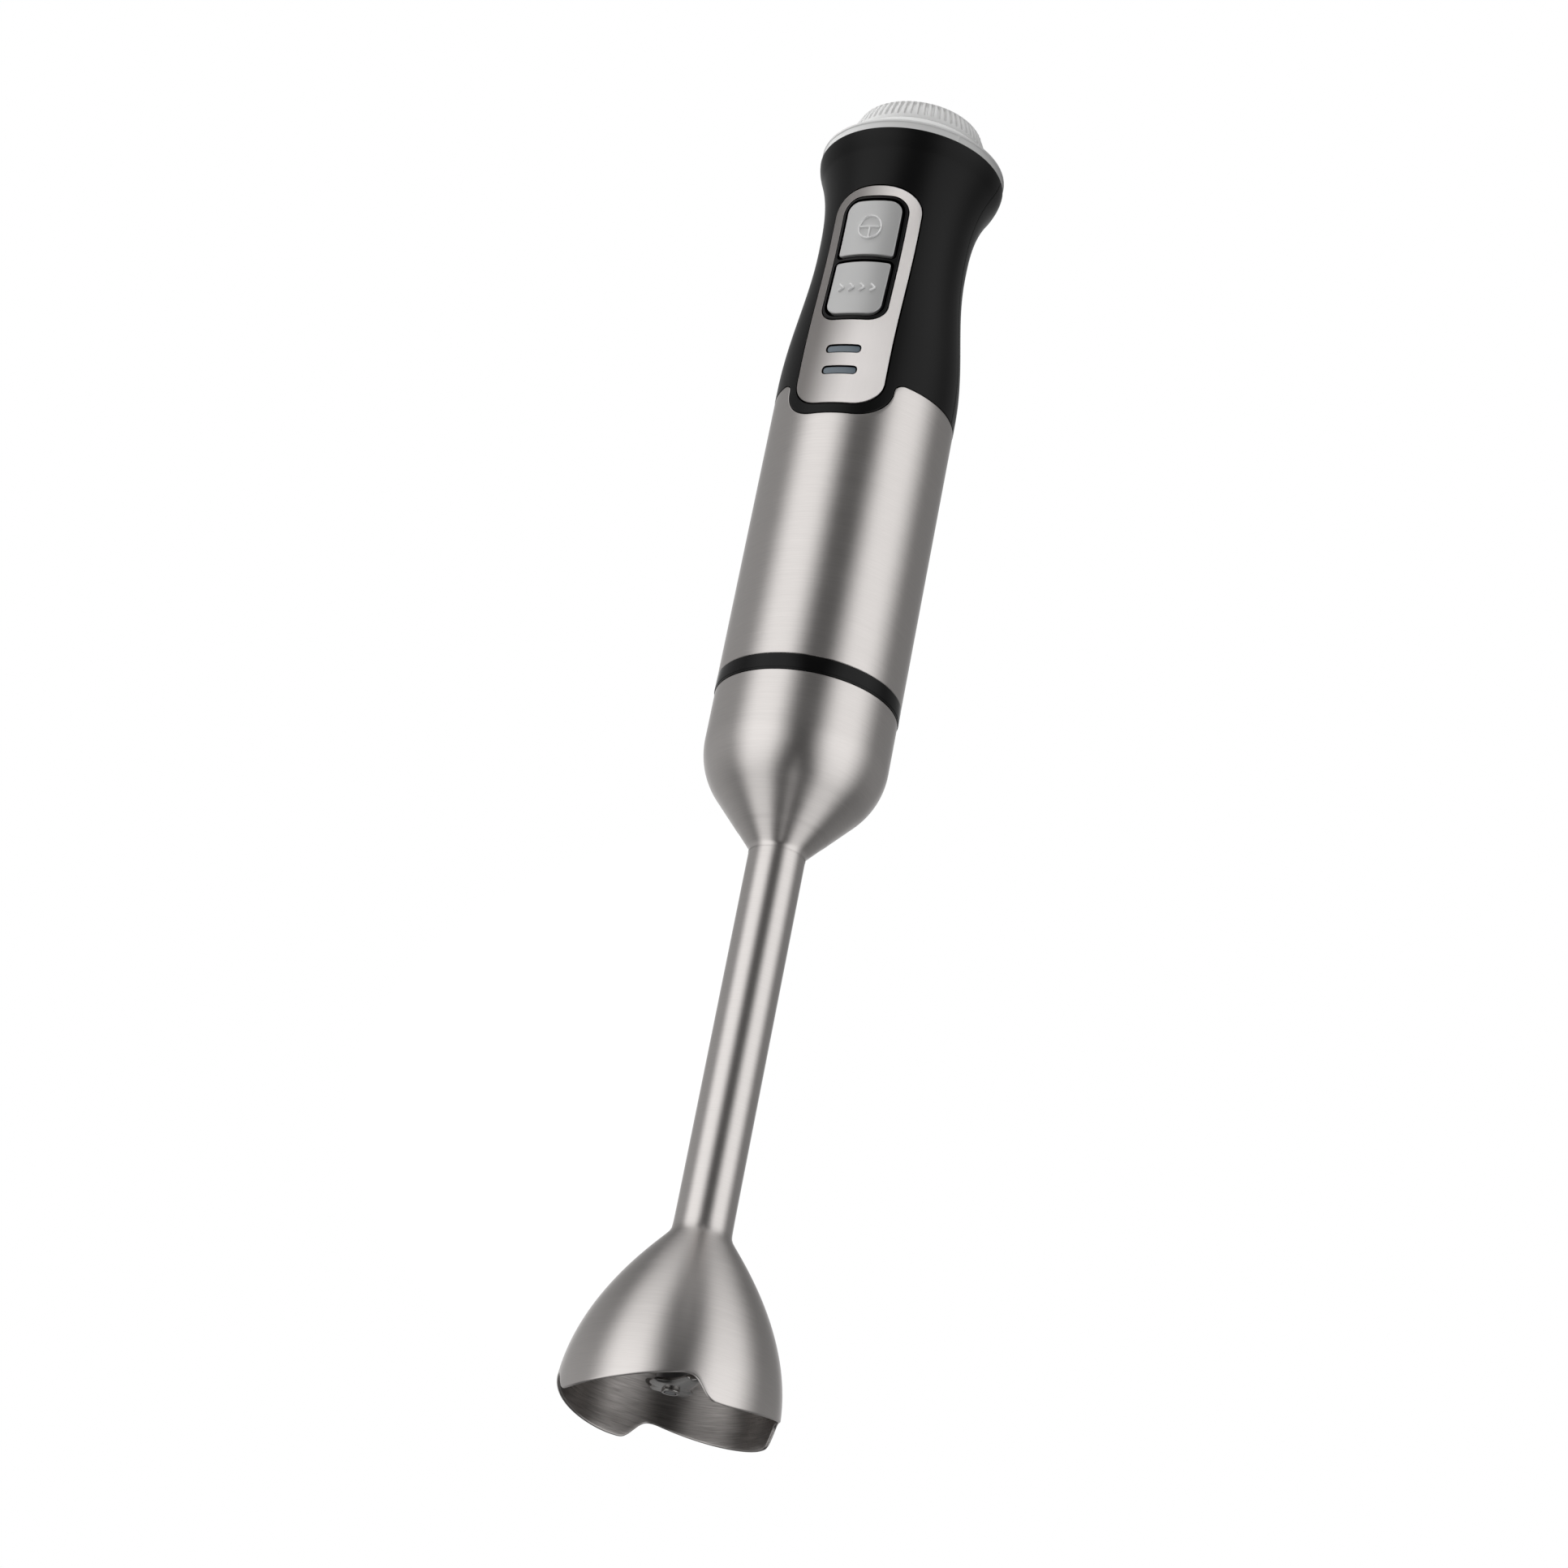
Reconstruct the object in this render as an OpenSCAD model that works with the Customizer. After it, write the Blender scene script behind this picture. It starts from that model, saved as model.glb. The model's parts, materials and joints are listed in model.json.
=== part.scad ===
// Immersion blender: a steel leg with a four-lobed bell guard and a drive shaft, which slides off a motor unit
// with a thumb panel and a speed dial. Millimetres, +Z up. It stands on the tips of the bell's rim with the
// shaft on the Z axis, and the control panel faces -Y. Azimuths are measured from -Y towards +X.

/* [Leg] */
// Largest outer radius of the bell guard
bell_r = 31.6; // [30:0.2:34]
// Height from the rim tips to where the dome meets the tube
bell_h = 54.6; // [50:0.5:60]
// Height of the straight band of the bell above the rim tips
bell_straight_h = 4; // [3:0.5:6]
// Sheet thickness of the bell guard
bell_wall = 1; // [0.8:0.1:1.4]
// Depth of the notches between the rim's lobes
lobe_h = 5.7; // [4:0.1:7]
// Height of the bell's collar, which carries the tube
collar_h = 3; // [2:0.5:5]
// Outer radius of the shaft tube
tube_r = 8.5; // [8:0.1:9.5]
// Wall of the shaft tube
tube_wall = 0.8; // [0.6:0.1:1]
// Length of the leg between bell and cone
tube_len = 118.4; // [90:1:150]
// Half angle of the coupling cone
cone_angle = 40.3; // [34:0.5:44]
// Radius of the rounding between the cone and the straight cup
shoulder_r = 24.1; // [16:0.5:25]
// Height of the cup's straight wall
cup_h = 15.2; // [13:0.1:20]
// Sheet thickness of the cone and cup
cup_wall = 0.8; // [0.6:0.1:1]

/* [Drive] */
// Radius of the leg's drive shaft
shaft_r = 3; // [2.5:0.1:3.4]
// Radius of the shaft's thinner lower end, which carries the blade
stud_r = 1.8; // [1.4:0.1:2.2]
// Height of the blade's underside above the rim tips
blade_z = 8.6; // [8:0.2:12]
// Reach of each blade wing from the axis
blade_reach = 16; // [14:0.5:20]
// Width of the blade
blade_w = 9.6; // [9:0.2:12]
// Thickness of the blade
blade_t = 1.2; // [1:0.1:1.6]
// Height that one wing drops and the other rises at its tip
blade_bend = 5.2; // [2:0.1:6]
// Angle at which the blade rests, from the panel's side
blade_turn = 22; // [0:1:45]
// Length of the upper bush
upper_bush_len = 15; // [10:0.5:18]
// Length of the lower bush
lower_bush_len = 17; // [12:0.5:20]
// Radius of the coupler's core and reach of its splines
spline_core_r = 4; // [3.8:0.1:4.4]
spline_reach = 6.5; // [6:0.1:7]
// Width of one spline
spline_w = 2.4; // [2:0.1:2.8]
// Outer radius of the couplers
coupler_r = 9.5; // [9:0.1:10.5]

/* [Motor unit] */
// Outer radius of the steel barrel
barrel_r = 28; // [27.5:0.1:29]
// Length of the steel barrel
barrel_len = 95.8; // [95:0.5:110]
// Wall of the steel barrel
barrel_wall = 0.8; // [0.6:0.1:1]
// Height of the black band under the barrel
band_h = 5.2; // [4:0.1:8]
// Outer radius of the spigot that enters the leg
spigot_r = 22; // [20:0.5:22.5]
// Length of the spigot below the band
spigot_len = 16; // [14:0.5:17]
// Length of the handle above the barrel
handle_len = 89.6; // [88:0.4:96]
// Radius of the handle where it meets the barrel
grip_r = 28.08; // [28.02:0.02:29.5]
// Radius of the handle's waist
waist_r = 23.46; // [23:0.1:25]
// Height of the waist above the barrel
waist_h = 55.4; // [52:0.2:58]
// How far the waist is set forward, towards the thumb
waist_shift = 2.1; // [0:0.1:2.5]
// Largest radius of the handle's head
head_r = 29.5; // [29:0.1:31]
// Wall of the handle shells
shell_wall = 2.2; // [2:0.1:2.4]
// Azimuth of the seam between the front and rear shells
seam_angle = 93; // [91:0.5:98]

/* [Controls] */
// Width and height of the steel control panel
panel_w = 28; // [27:0.2:29]
panel_h = 80; // [79:0.1:82]
// How far the panel reaches down past the barrel's upper edge
panel_drop = 10.1; // [9:0.1:10.4]
// Width of the black margin beside the panel's foot, and its height below it
panel_margin = 3; // [2.6:0.1:3.4]
foot_margin = 3.5; // [3:0.1:3.6]
// Thickness of the panel sheet
panel_t = 1.35; // [1.2:0.05:1.6]
// Width of both buttons
button_w = 17.2; // [16:0.1:18.2]
// Height of the upper button
power_h = 20; // [18:0.1:20.4]
// Height of the lower button
turbo_h = 19.7; // [18:0.1:20.4]
// Gap between the two buttons
button_gap = 2.75; // [2:0.05:3]
// Width of the rubber border around the buttons
surround_border = 1.5; // [1.4:0.1:1.8]
// Height of the buttons' surround above the panel's foot
surround_rise = 30; // [29:0.1:30.6]
// Travel of the buttons
button_travel = 1.2; // [0.8:0.1:1.3]
// Width, height and spacing of the indicator slots
slot_w = 10.7; // [8:0.1:12]
slot_h = 2.5; // [2:0.1:3]
slot_pitch = 7.6; // [6:0.1:8]
// Height of the lower slot above the panel's foot
slot_rise = 11.5; // [9:0.1:12]
// Height of the grey head ring's upright face
ring_h = 3; // [2:0.1:4]
// Height of the sloping shoulder between ring and dial
shoulder_h = 5.6; // [5:0.1:7]
// Radius of the speed dial's foot and of its top edge
dial_r = 22.3; // [20:0.1:23]
dial_top_r = 20.1; // [17:0.1:20.5]
// Height of the speed dial to its top edge
dial_h = 8; // [6.5:0.1:9]
// Bore of the cord gland
cord_bore_r = 3.6; // [3:0.1:4]
// Length of the cord gland
gland_len = 10.8; // [8:0.1:14]

/* [Motor] */
// Radius of the motor shaft
motor_shaft_r = 3; // [2.5:0.1:3.4]
// Radius of the rotor
rotor_r = 14; // [12:0.2:14.4]
// Air gap between rotor and stator
air_gap = 0.6; // [0.4:0.1:0.8]
// Outer radius of the lamination stack
stator_r = 24.4; // [24:0.1:24.6]
// Radius and height of the cooling fan
fan_r = 19.4; // [16:0.2:19.6]
fan_h = 7; // [5:0.5:8]
// Radius and length of the commutator
commutator_r = 8.5; // [7.5:0.1:9]
commutator_h = 9; // [7:0.5:10]
// Length of a carbon brush, and of its holder
brush_len = 9; // [8:0.5:9.5]
holder_len = 11; // [10:0.5:11.5]

/* [Fits] */
// Radial clearance of a shaft in its bearing
run_gap = 0.05; // [0.02:0.01:0.1]
// Clearance between fixed pieces that fit into each other
fit_gap = 0.1; // [0.05:0.01:0.15]
// Clearance around pieces that move
move_gap = 0.3; // [0.25:0.05:0.4]

/* [Hidden] */
$fn = 72;

// Colours
steel = [0.72, 0.71, 0.69];
dark_steel = [0.42, 0.42, 0.43];
black = [0.09, 0.09, 0.09];
rubber_black = [0.06, 0.06, 0.06];
pale_grey = [0.80, 0.80, 0.79];
silver = [0.76, 0.76, 0.75];
slate = [0.35, 0.40, 0.44];
copper = [0.72, 0.42, 0.22];
brass = [0.78, 0.62, 0.30];
carbon = [0.16, 0.16, 0.17];
board_green = [0.10, 0.34, 0.18];
capacitor_yellow = [0.80, 0.62, 0.12];
bush_bronze = [0.60, 0.46, 0.26];

// Heights up the leg
cup_r = barrel_r - 0.2;
collar_top = bell_h + collar_h;
cone_z0 = bell_h + tube_len;
cone_end_z = cone_z0 + (cup_r - shoulder_r * (1 - cos(cone_angle)) - tube_r) / tan(cone_angle);
shoulder_z = cone_end_z + shoulder_r * sin(cone_angle);
cup_top = shoulder_z + cup_h;
// Heights up the motor unit
band_z0 = cup_top + move_gap;
barrel_z0 = band_z0 + band_h;
handle_z0 = barrel_z0 + barrel_len;
head_z0 = handle_z0 + handle_len;
panel_z0 = handle_z0 - panel_drop;
margin_z0 = panel_z0 - foot_margin;
foot_lap = 1.9;
foot_z = margin_z0 - foot_lap;

// Leg internals
tube_in_r = tube_r - tube_wall;
dome_power = 1.9;
dome_gain = 1.04;
dome_blend = 0.9;
lobes = 4;
lobe_pitch = 360 / lobes;
lobe_phase = 46.5;
lobe_rise_angle = 72;
lobe_flat_angle = 4;
socket_in_r = spigot_r + move_gap;
socket_floor_z = band_z0 - spigot_len - 4 * move_gap;
socket_z0 = socket_floor_z - upper_bush_len;
bush_r = shaft_r + 2.2;
seal_h = 3;
end_lip = 0.5;
hub_top = collar_top + 5;
hub_z0 = hub_top - lower_bush_len - seal_h - 2 * end_lip;
hub_flange_r = bush_r + 3.6;
clip_t = 1;
clip_r = shaft_r + 2;
nut_h = 1;
nut_r = stud_r + 1.1;
spacer_h = 5;
spacer_r = shaft_r + 1.6;
tip_gap = 0.4;

// Couplers: the leg's splined cup and the motor's splined nose
coupler_z0 = socket_floor_z + clip_t + 2 * move_gap;
coupler_base_h = 4;
coupler_h = 11;
nose_z0 = coupler_z0 + coupler_base_h + 2 * move_gap;
nose_top = coupler_z0 + coupler_h + 1;
nose_hub_h = 5;
splines = 6;

// Motor unit internals: the lamination stack fills the room left between fan and commutator
spigot_wall = 4;
cap_t = 4;
cap_top = barrel_z0 + cap_t;
seal_ring_r = 1;
seal_groove_z = band_z0 - spigot_len / 2;
barrel_in_r = barrel_r - barrel_wall;
carrier_r = barrel_in_r - 2 * fit_gap;
carrier_wall = 1.2;
carrier_in_r = carrier_r - carrier_wall;
carrier_top = foot_z - move_gap;
bracket_r = carrier_in_r - 2 * fit_gap;
bracket_in_r = stator_r - 1.4;
bracket_t = 3;
cushion_h = 2.6;
upper_cushion_h = 2;
bracket_z0 = cap_top + cushion_h;
bearing_r = motor_shaft_r + 4;
bearing_h = 6;
bearing_lip = 1.5;
end_turn_h = 4;
turn_gap = 2;
fan_z0 = bracket_z0 + bearing_h;
stack_z0 = fan_z0 + fan_h + end_turn_h + turn_gap / 2;
web_t = 1.8;
web_z0 = carrier_top - web_t;
motor_top = web_z0 - upper_cushion_h;
upper_plate_z0 = motor_top - bracket_t;
commutator_z0 = upper_plate_z0 - turn_gap - commutator_h;
stack_top = commutator_z0 - turn_gap - end_turn_h;
coil_r = rotor_r + air_gap + 1.4;
coil_t = 4;
coil_a0 = 41;
coil_a1 = 59;
screw_r = 1.5;
screw_pos_r = coil_r + coil_t + screw_r + 0.4;
screw_angle = 30;
screw_head_r = screw_r + 0.9;
screw_head_h = 1.6;
stator_flat = 19.5;
brush_w = 5;
brush_h = 4;
brush_wall = 0.8;
holder_gap = 1.5;
brush_z = commutator_z0 + commutator_h / 2;

// Handle surface: a half cosine down to the waist, a power curve up to the lip and a quarter sine over it
neck_z = handle_z0 + 5;
waist_z = handle_z0 + waist_h;
lip_h = 5.9;
lip_z = head_z0 - lip_h;
lip_r = head_r - 1.6;
flare_power = 2.7;

function handle_r(z) =
    z <= neck_z ? grip_r :
    z <= waist_z ? waist_r + (grip_r - waist_r) * (1 + cos(180 * (z - neck_z) / (waist_z - neck_z))) / 2 :
    z <= lip_z ? waist_r + (lip_r - waist_r) * pow((z - waist_z) / (lip_z - waist_z), flare_power) :
    lip_r + (head_r - lip_r) * sin(90 * (z - lip_z) / lip_h);

// How far the section at height z is set towards -Y
function handle_shift(z) =
    z <= neck_z || z >= lip_z ? 0 :
    waist_shift * (z <= waist_z ? (grip_r - handle_r(z)) / (grip_r - waist_r)
                                : 1 - (handle_r(z) - waist_r) / (lip_r - waist_r));

// Panel and controls
panel_foot_r = 8.5;
panel_crown_h = 9;
crown_power = 0.8;
panel_proud = 0.25;
margin_w = panel_w + 2 * panel_margin;
ear_r = 2.7;
margin_foot_r = min(10.5, handle_z0 - margin_z0 - ear_r);
surround_w = button_w + 2 * surround_border + 2 * move_gap;
surround_z0 = panel_z0 + surround_rise;
turbo_z0 = surround_z0 + surround_border + move_gap;
power_z0 = turbo_z0 + turbo_h + button_gap;
surround_top = power_z0 + power_h + surround_border + move_gap;
surround_h = surround_top - surround_z0;
surround_low_r = 4.7;
surround_top_r = 5.3;
surround_proud = 0.5;
button_end_r = 3.7;
button_inner_r = 0.8;
button_proud = 0.9;
cap_depth = 0.9;
stem_r = 2.2;
frame_margin = 4;
frame_back_y = -18;
rail_x = 13;
rail_t = 1.6;
rail_back_y = -8.8;
board_y = -11;
board_t = 1.6;
board_z0 = handle_z0 + 14;
board_top = surround_top + 2;
board_face_y = board_y + board_t;
switch_depth = 6;
actuator_len = 0.6;
stem_end_y = board_y - switch_depth - actuator_len - fit_gap - button_travel;

// Grid of the handle's walls
levels = concat([for (j = [0:15]) foot_z + (lip_z - foot_z) * j / 15], [for (j = [1:4]) lip_z + lip_h * j / 4]);
shell_steps = 20;
seam_gap = 0.2;
seam_trim = seam_gap / 2 / waist_r * 180 / PI;
panel_steps = 10;
panel_reach = seam_angle * panel_steps / shell_steps;
prism_depth = 1.5 * head_r;

// Head
ring_z1 = head_z0 + ring_h;
seat_z = ring_z1 + shoulder_h;
seat_r = dial_r + 0.4;
seat_t = 2;
skirt_h = 3;
dial_z0 = seat_z + move_gap;
dial_top = dial_z0 + dial_h;
dial_crown_h = 1.6;
dial_wall = 2.2;
dial_band_h = 1.4;
spindle_top = dial_top - dial_wall - 1;
spindle_r = 3;
pot_h = 7;
pot_r = 8;
pot_neck_h = 6;
pot_top = seat_z - seat_t - pot_neck_h;
gland_z = head_z0 - 12.5;
gland_r = cord_bore_r + 1.9;
gland_flange_r = gland_r + 2;
gland_out_y = handle_r(gland_z + gland_r) + 0.4;
gland_in_y = gland_out_y - gland_len;

// ---------- helpers ----------

function arc(cx, cy, r, a0, a1, n = 6) =
    [for (i = [0:n]) let (a = a0 + (a1 - a0) * i / n) [cx + r * cos(a), cy + r * sin(a)]];

function backwards(list) = [for (i = [len(list) - 1:-1:0]) list[i]];

// Rectangle with its foot at y = 0 and its own corner radii below and above
function rounded(w, h, r_low, r_top) = concat(
    arc(w / 2 - r_low, r_low, r_low, -90, 0),
    arc(w / 2 - r_top, h - r_top, r_top, 0, 90),
    arc(-w / 2 + r_top, h - r_top, r_top, 90, 180),
    arc(-w / 2 + r_low, r_low, r_low, 180, 270));

// Panel outline: rounded foot corners, and a crown that is a flattened half ellipse
function panel_outline(grow = 0) =
    let (w = panel_w / 2 + grow, foot_r = panel_foot_r + grow)
    let (spring = panel_h - panel_crown_h, crown = panel_crown_h + grow)
    concat(
        arc(w - foot_r, foot_r - grow, foot_r, -90, 0),
        [for (i = [0:16]) let (a = 180 * i / 16, c = cos(a))
            [w * sign(c) * pow(abs(c), crown_power), spring + crown * pow(sin(a), crown_power)]],
        arc(-w + foot_r, foot_r - grow, foot_r, 180, 270));

// Extrudes an outline in X and Z from the axis out through the front
module front_prism(z) {
    translate([0, 0, z]) rotate([90, 0, 0]) linear_extrude(prism_depth) children();
}

module ring(r_out, r_in, z0, z1) {
    difference() {
        translate([0, 0, z0]) cylinder(r = r_out, h = z1 - z0);
        translate([0, 0, z0 - 1]) cylinder(r = r_in, h = z1 - z0 + 2);
    }
}

module rod(r, z0, z1) {
    translate([0, 0, z0]) cylinder(r = r, h = z1 - z0);
}

// Wall between the offsets d0 and d1 from the handle's surface, between two azimuths and two levels
module handle_wall(d0, d1, a0, a1, steps, j0 = 0, j1 = len(levels) - 1) {
    rows = j1 - j0;
    cols = steps + 1;
    count = cols * (rows + 1);
    points = [for (d = [d0, d1], j = [0:rows], i = [0:steps])
        let (z = levels[j0 + j], a = a0 + (a1 - a0) * i / steps, r = handle_r(z) + d)
        [r * sin(a), -r * cos(a) - handle_shift(z), z]];
    quads = concat(
        [for (j = [0:rows - 1], i = [0:steps - 1])
            let (p = count + j * cols + i) [p, p + cols, p + cols + 1, p + 1]],
        [for (j = [0:rows - 1], i = [0:steps - 1])
            let (p = j * cols + i) [p, p + 1, p + cols + 1, p + cols]],
        [for (i = [0:steps - 1]) [count + i, count + i + 1, i + 1, i]],
        [for (i = [0:steps - 1]) let (p = rows * cols + i) [count + p, p, p + 1, count + p + 1]],
        [for (j = [0:rows - 1]) let (p = j * cols) [p, p + cols, count + p + cols, count + p]],
        [for (j = [0:rows - 1]) let (p = j * cols + steps) [count + p, count + p + cols, p + cols, p]]);
    polyhedron(points, [for (q = quads, half = [0, 1]) half == 0 ? [q[0], q[1], q[2]] : [q[0], q[2], q[3]]]);
}

// The part of the handle wall near the panel, on the same grid as the front shell
module panel_wall(d0, d1) {
    handle_wall(d0, d1, -panel_reach, panel_reach, panel_steps);
}

// ---------- leg ----------

// Outer radius of the dome at height z, blended into the tube
function dome_rise(z) = max(0, z - bell_straight_h) / (bell_h - bell_straight_h);
function dome_r(z) = tube_r + (bell_r - tube_r) * (1 - dome_gain * pow(dome_rise(z), dome_power));
function dome_slope(z) =
    (bell_r - tube_r) * dome_gain * dome_power * pow(dome_rise(z), dome_power - 1) / (bell_h - bell_straight_h);
function dome_out(z) = let (d = dome_r(z) - tube_r) tube_r + (d + sqrt(d * d + dome_blend * dome_blend)) / 2;
function dome_in(z) = max(tube_in_r, dome_r(z) - bell_wall * sqrt(1 + pow(dome_slope(z), 2)));

// Height of the rim above its tips, at azimuth a: a slow rise and a quick S-shaped fall on each lobe
function rim_height(a) =
    let (b = (a - lobe_phase + 2 * 360) % lobe_pitch)
    b < lobe_flat_angle ? -1 :
    b <= lobe_rise_angle ? lobe_h * pow((b - lobe_flat_angle) / (lobe_rise_angle - lobe_flat_angle), 1.4) :
    lobe_h * (1 + cos(180 * (b - lobe_rise_angle) / (lobe_pitch - lobe_rise_angle))) / 2;

module rim_cutter() {
    r_in = bell_r - 5;
    r_out = bell_r + 3;
    n = 120;
    points = [for (i = [0:n - 1]) let (a = 360 * i / n, u = [sin(a), -cos(a)], h = rim_height(a))
        for (p = [[r_in, -3], [r_out, -3], [r_out, h], [r_in, h]]) [p[0] * u[0], p[0] * u[1], p[1]]];
    polyhedron(points, [for (i = [0:n - 1], k = [0:3])
        let (a = 4 * i, b = 4 * ((i + 1) % n), m = (k + 1) % 4)
        for (half = [0, 1]) half == 0 ? [a + k, a + m, b + m] : [a + k, b + m, b + k]]);
}

module bell_guard() {
    dome_h = collar_top - bell_straight_h;
    heights = concat([0], [for (i = [0:16]) bell_straight_h + dome_h * i / 16]);
    color(steel) difference() {
        rotate_extrude() polygon(concat(
            [for (z = heights) [dome_out(z), z]],
            [for (z = backwards(heights)) [dome_in(z), z]]));
        rim_cutter();
    }
}

module shaft_tube() {
    color(steel) ring(tube_r, tube_in_r, collar_top, cone_z0);
}

// Radius of the cone and cup at height z, moved inwards by off
function cup_wall_r(z, off) =
    let (r = shoulder_r - off)
    z >= shoulder_z ? cup_r - off :
    z >= shoulder_z - r * sin(cone_angle) ? cup_r - shoulder_r + sqrt(r * r - pow(shoulder_z - z, 2)) :
    tube_r + (z - cone_z0) * tan(cone_angle) - off / cos(cone_angle);
function cup_outline(z0, off) =
    let (r = shoulder_r - off, bend = [for (i = [0:8]) shoulder_z - r * sin(cone_angle * (1 - i / 8))])
    [for (z = concat([z0], bend, [cup_top])) [cup_wall_r(z, off), z]];
module coupling_cone() {
    color(steel) rotate_extrude()
        polygon(concat(cup_outline(cone_z0, 0), backwards(cup_outline(cone_z0, cup_wall))));
}

module leg_socket() {
    color(black) rotate_extrude() polygon(concat(
        cup_outline(socket_z0, cup_wall + fit_gap),
        [[socket_in_r, cup_top], [socket_in_r, socket_floor_z], [bush_r + fit_gap, socket_floor_z],
         [bush_r + fit_gap, socket_z0]]));
}

module upper_bush() {
    color(bush_bronze) ring(bush_r, shaft_r + run_gap, socket_z0, socket_floor_z);
}

module bell_hub() {
    flange_top = hub_z0 + 9;
    color(black) difference() {
        union() {
            rod(tube_in_r - fit_gap, hub_z0, hub_top);
            rod(hub_flange_r, hub_z0, flange_top);
        }
        rod(bush_r + fit_gap, hub_z0 - 1, hub_top - end_lip);
        rod(shaft_r + move_gap, hub_z0, hub_top + 1);
    }
}

module lower_bush() {
    color(bush_bronze) ring(bush_r, shaft_r + run_gap, hub_z0 + seal_h + end_lip, hub_top - end_lip);
}

module shaft_seal() {
    color(rubber_black) ring(bush_r, shaft_r + run_gap, hub_z0 + fit_gap, hub_z0 + seal_h + fit_gap);
}

// ---------- blade and drive shaft ----------

module drive_shaft() {
    color(dark_steel) union() {
        rod(shaft_r, blade_z + blade_t, coupler_z0 + coupler_base_h - end_lip);
        rod(stud_r, blade_z - nut_h, blade_z + blade_t + 1);
    }
}

module blade_wing(angle) {
    root = blade_w / 2;
    length = (blade_reach - root) / cos(angle);
    translate([0, root, 0]) rotate([angle, 0, 0]) linear_extrude(blade_t)
        polygon(concat(
            [[-blade_w / 2, -1], [blade_w / 2, -1]],
            arc(blade_w / 2 - 4, length - 4, 4, 0, 90),
            [[-blade_w / 4, length - 1], [-blade_w / 2 + 0.6, length / 2]]));
}

module blade() {
    bend = atan(blade_bend / (blade_reach - blade_w / 2));
    color(steel) translate([0, 0, blade_z]) rotate([0, 0, blade_turn]) difference() {
        union() {
            linear_extrude(blade_t) square(blade_w, center = true);
            blade_wing(bend);
            rotate([0, 0, 180]) blade_wing(-bend);
        }
        translate([0, 0, -1]) cylinder(r = stud_r, h = blade_t + 3);
    }
}

module blade_nut() {
    color(steel) difference() {
        rod(nut_r, blade_z - nut_h, blade_z);
        rod(stud_r, blade_z - nut_h - 1, blade_z + 1);
    }
}

module blade_spacer() {
    color(dark_steel) ring(spacer_r, shaft_r, blade_z + blade_t, blade_z + blade_t + spacer_h);
}

module shaft_clip() {
    color(steel) ring(clip_r, shaft_r, socket_floor_z + move_gap, socket_floor_z + move_gap + clip_t);
}

module spline_star(grow) {
    circle(r = spline_core_r + grow);
    for (i = [0:splines - 1]) rotate(360 * i / splines)
        translate([0, -spline_w / 2 - grow]) square([spline_reach + grow, spline_w + 2 * grow]);
}

module leg_coupler() {
    color(black) difference() {
        rod(coupler_r, coupler_z0, coupler_z0 + coupler_h);
        rod(shaft_r, coupler_z0 - 1, coupler_z0 + coupler_base_h - end_lip);
        translate([0, 0, coupler_z0 + coupler_base_h]) linear_extrude(coupler_h) spline_star(move_gap);
    }
}

// ---------- motor unit: lower end and barrel ----------

module coupling_band() {
    color(rubber_black) ring(barrel_r + 0.05, spigot_r + fit_gap, band_z0, barrel_z0);
}

module lower_cap() {
    color(black) difference() {
        union() {
            rod(barrel_in_r - fit_gap, barrel_z0, cap_top);
            rod(spigot_r, band_z0 - spigot_len, barrel_z0);
        }
        rod(spigot_r - spigot_wall, band_z0 - spigot_len - 1, band_z0);
        rod(coupler_r, band_z0 - 1, cap_top + 1);
        ring(spigot_r + 1, spigot_r - 2 * seal_ring_r + 0.1, seal_groove_z - seal_ring_r - fit_gap,
             seal_groove_z + seal_ring_r + fit_gap);
    }
}

module spigot_ring() {
    color(rubber_black) rotate_extrude() translate([spigot_r + 0.15 - seal_ring_r, seal_groove_z])
        circle(r = seal_ring_r);
}

// Opening in the barrel around the panel's foot, with eased ears at the barrel's upper edge
module foot_opening(grow) {
    w = margin_w + 2 * grow;
    h = handle_z0 - margin_z0 + grow;
    foot_r = margin_foot_r;
    front_prism(margin_z0 - grow) polygon(concat(
        arc(w / 2 - foot_r, foot_r, foot_r, -90, 0),
        arc(w / 2 + ear_r, h - ear_r, ear_r, 180, 90),
        [[w / 2 + ear_r, h + 8], [-w / 2 - ear_r, h + 8]],
        arc(-w / 2 - ear_r, h - ear_r, ear_r, 90, 0),
        arc(-w / 2 + foot_r, foot_r, foot_r, 180, 270)));
}

module barrel_sleeve() {
    color(steel) difference() {
        ring(barrel_r, barrel_in_r, barrel_z0, handle_z0);
        foot_opening(0);
    }
}

module motor_carrier() {
    color(black) union() {
        ring(carrier_r, carrier_in_r, cap_top, carrier_top);
        ring(carrier_in_r + 0.1, bearing_r + 3, web_z0, web_z0 + web_t);
    }
}

module lower_vibration_ring() {
    color(rubber_black) ring(bracket_r, bracket_r - 6, cap_top, bracket_z0);
}

module upper_vibration_ring() {
    color(rubber_black) ring(bracket_r, bracket_r - 6, motor_top, web_z0);
}

// One round at the place of each stator screw
module screw_rods(r, z0, z1) {
    for (a = [0, 180]) rotate([0, 0, a + screw_angle]) translate([screw_pos_r, 0, 0]) rod(r, z0, z1);
}

module lower_bracket() {
    vent_r = 4;
    color(dark_steel) difference() {
        union() {
            rod(bracket_r, bracket_z0, bracket_z0 + bracket_t);
            ring(bracket_r, bracket_in_r, bracket_z0 + bracket_t - 1, stack_z0);
        }
        rod(bearing_r, bracket_z0 - 1, bracket_z0 + bracket_t + 1);
        for (a = [45:90:315]) rotate([0, 0, a]) translate([(bearing_r + screw_pos_r) / 2, 0, 0])
            rod(vent_r, bracket_z0 - 1, bracket_z0 + bracket_t + 1);
        screw_rods(screw_r + fit_gap, bracket_z0 + 1, stack_z0 + 1);
    }
}

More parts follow.
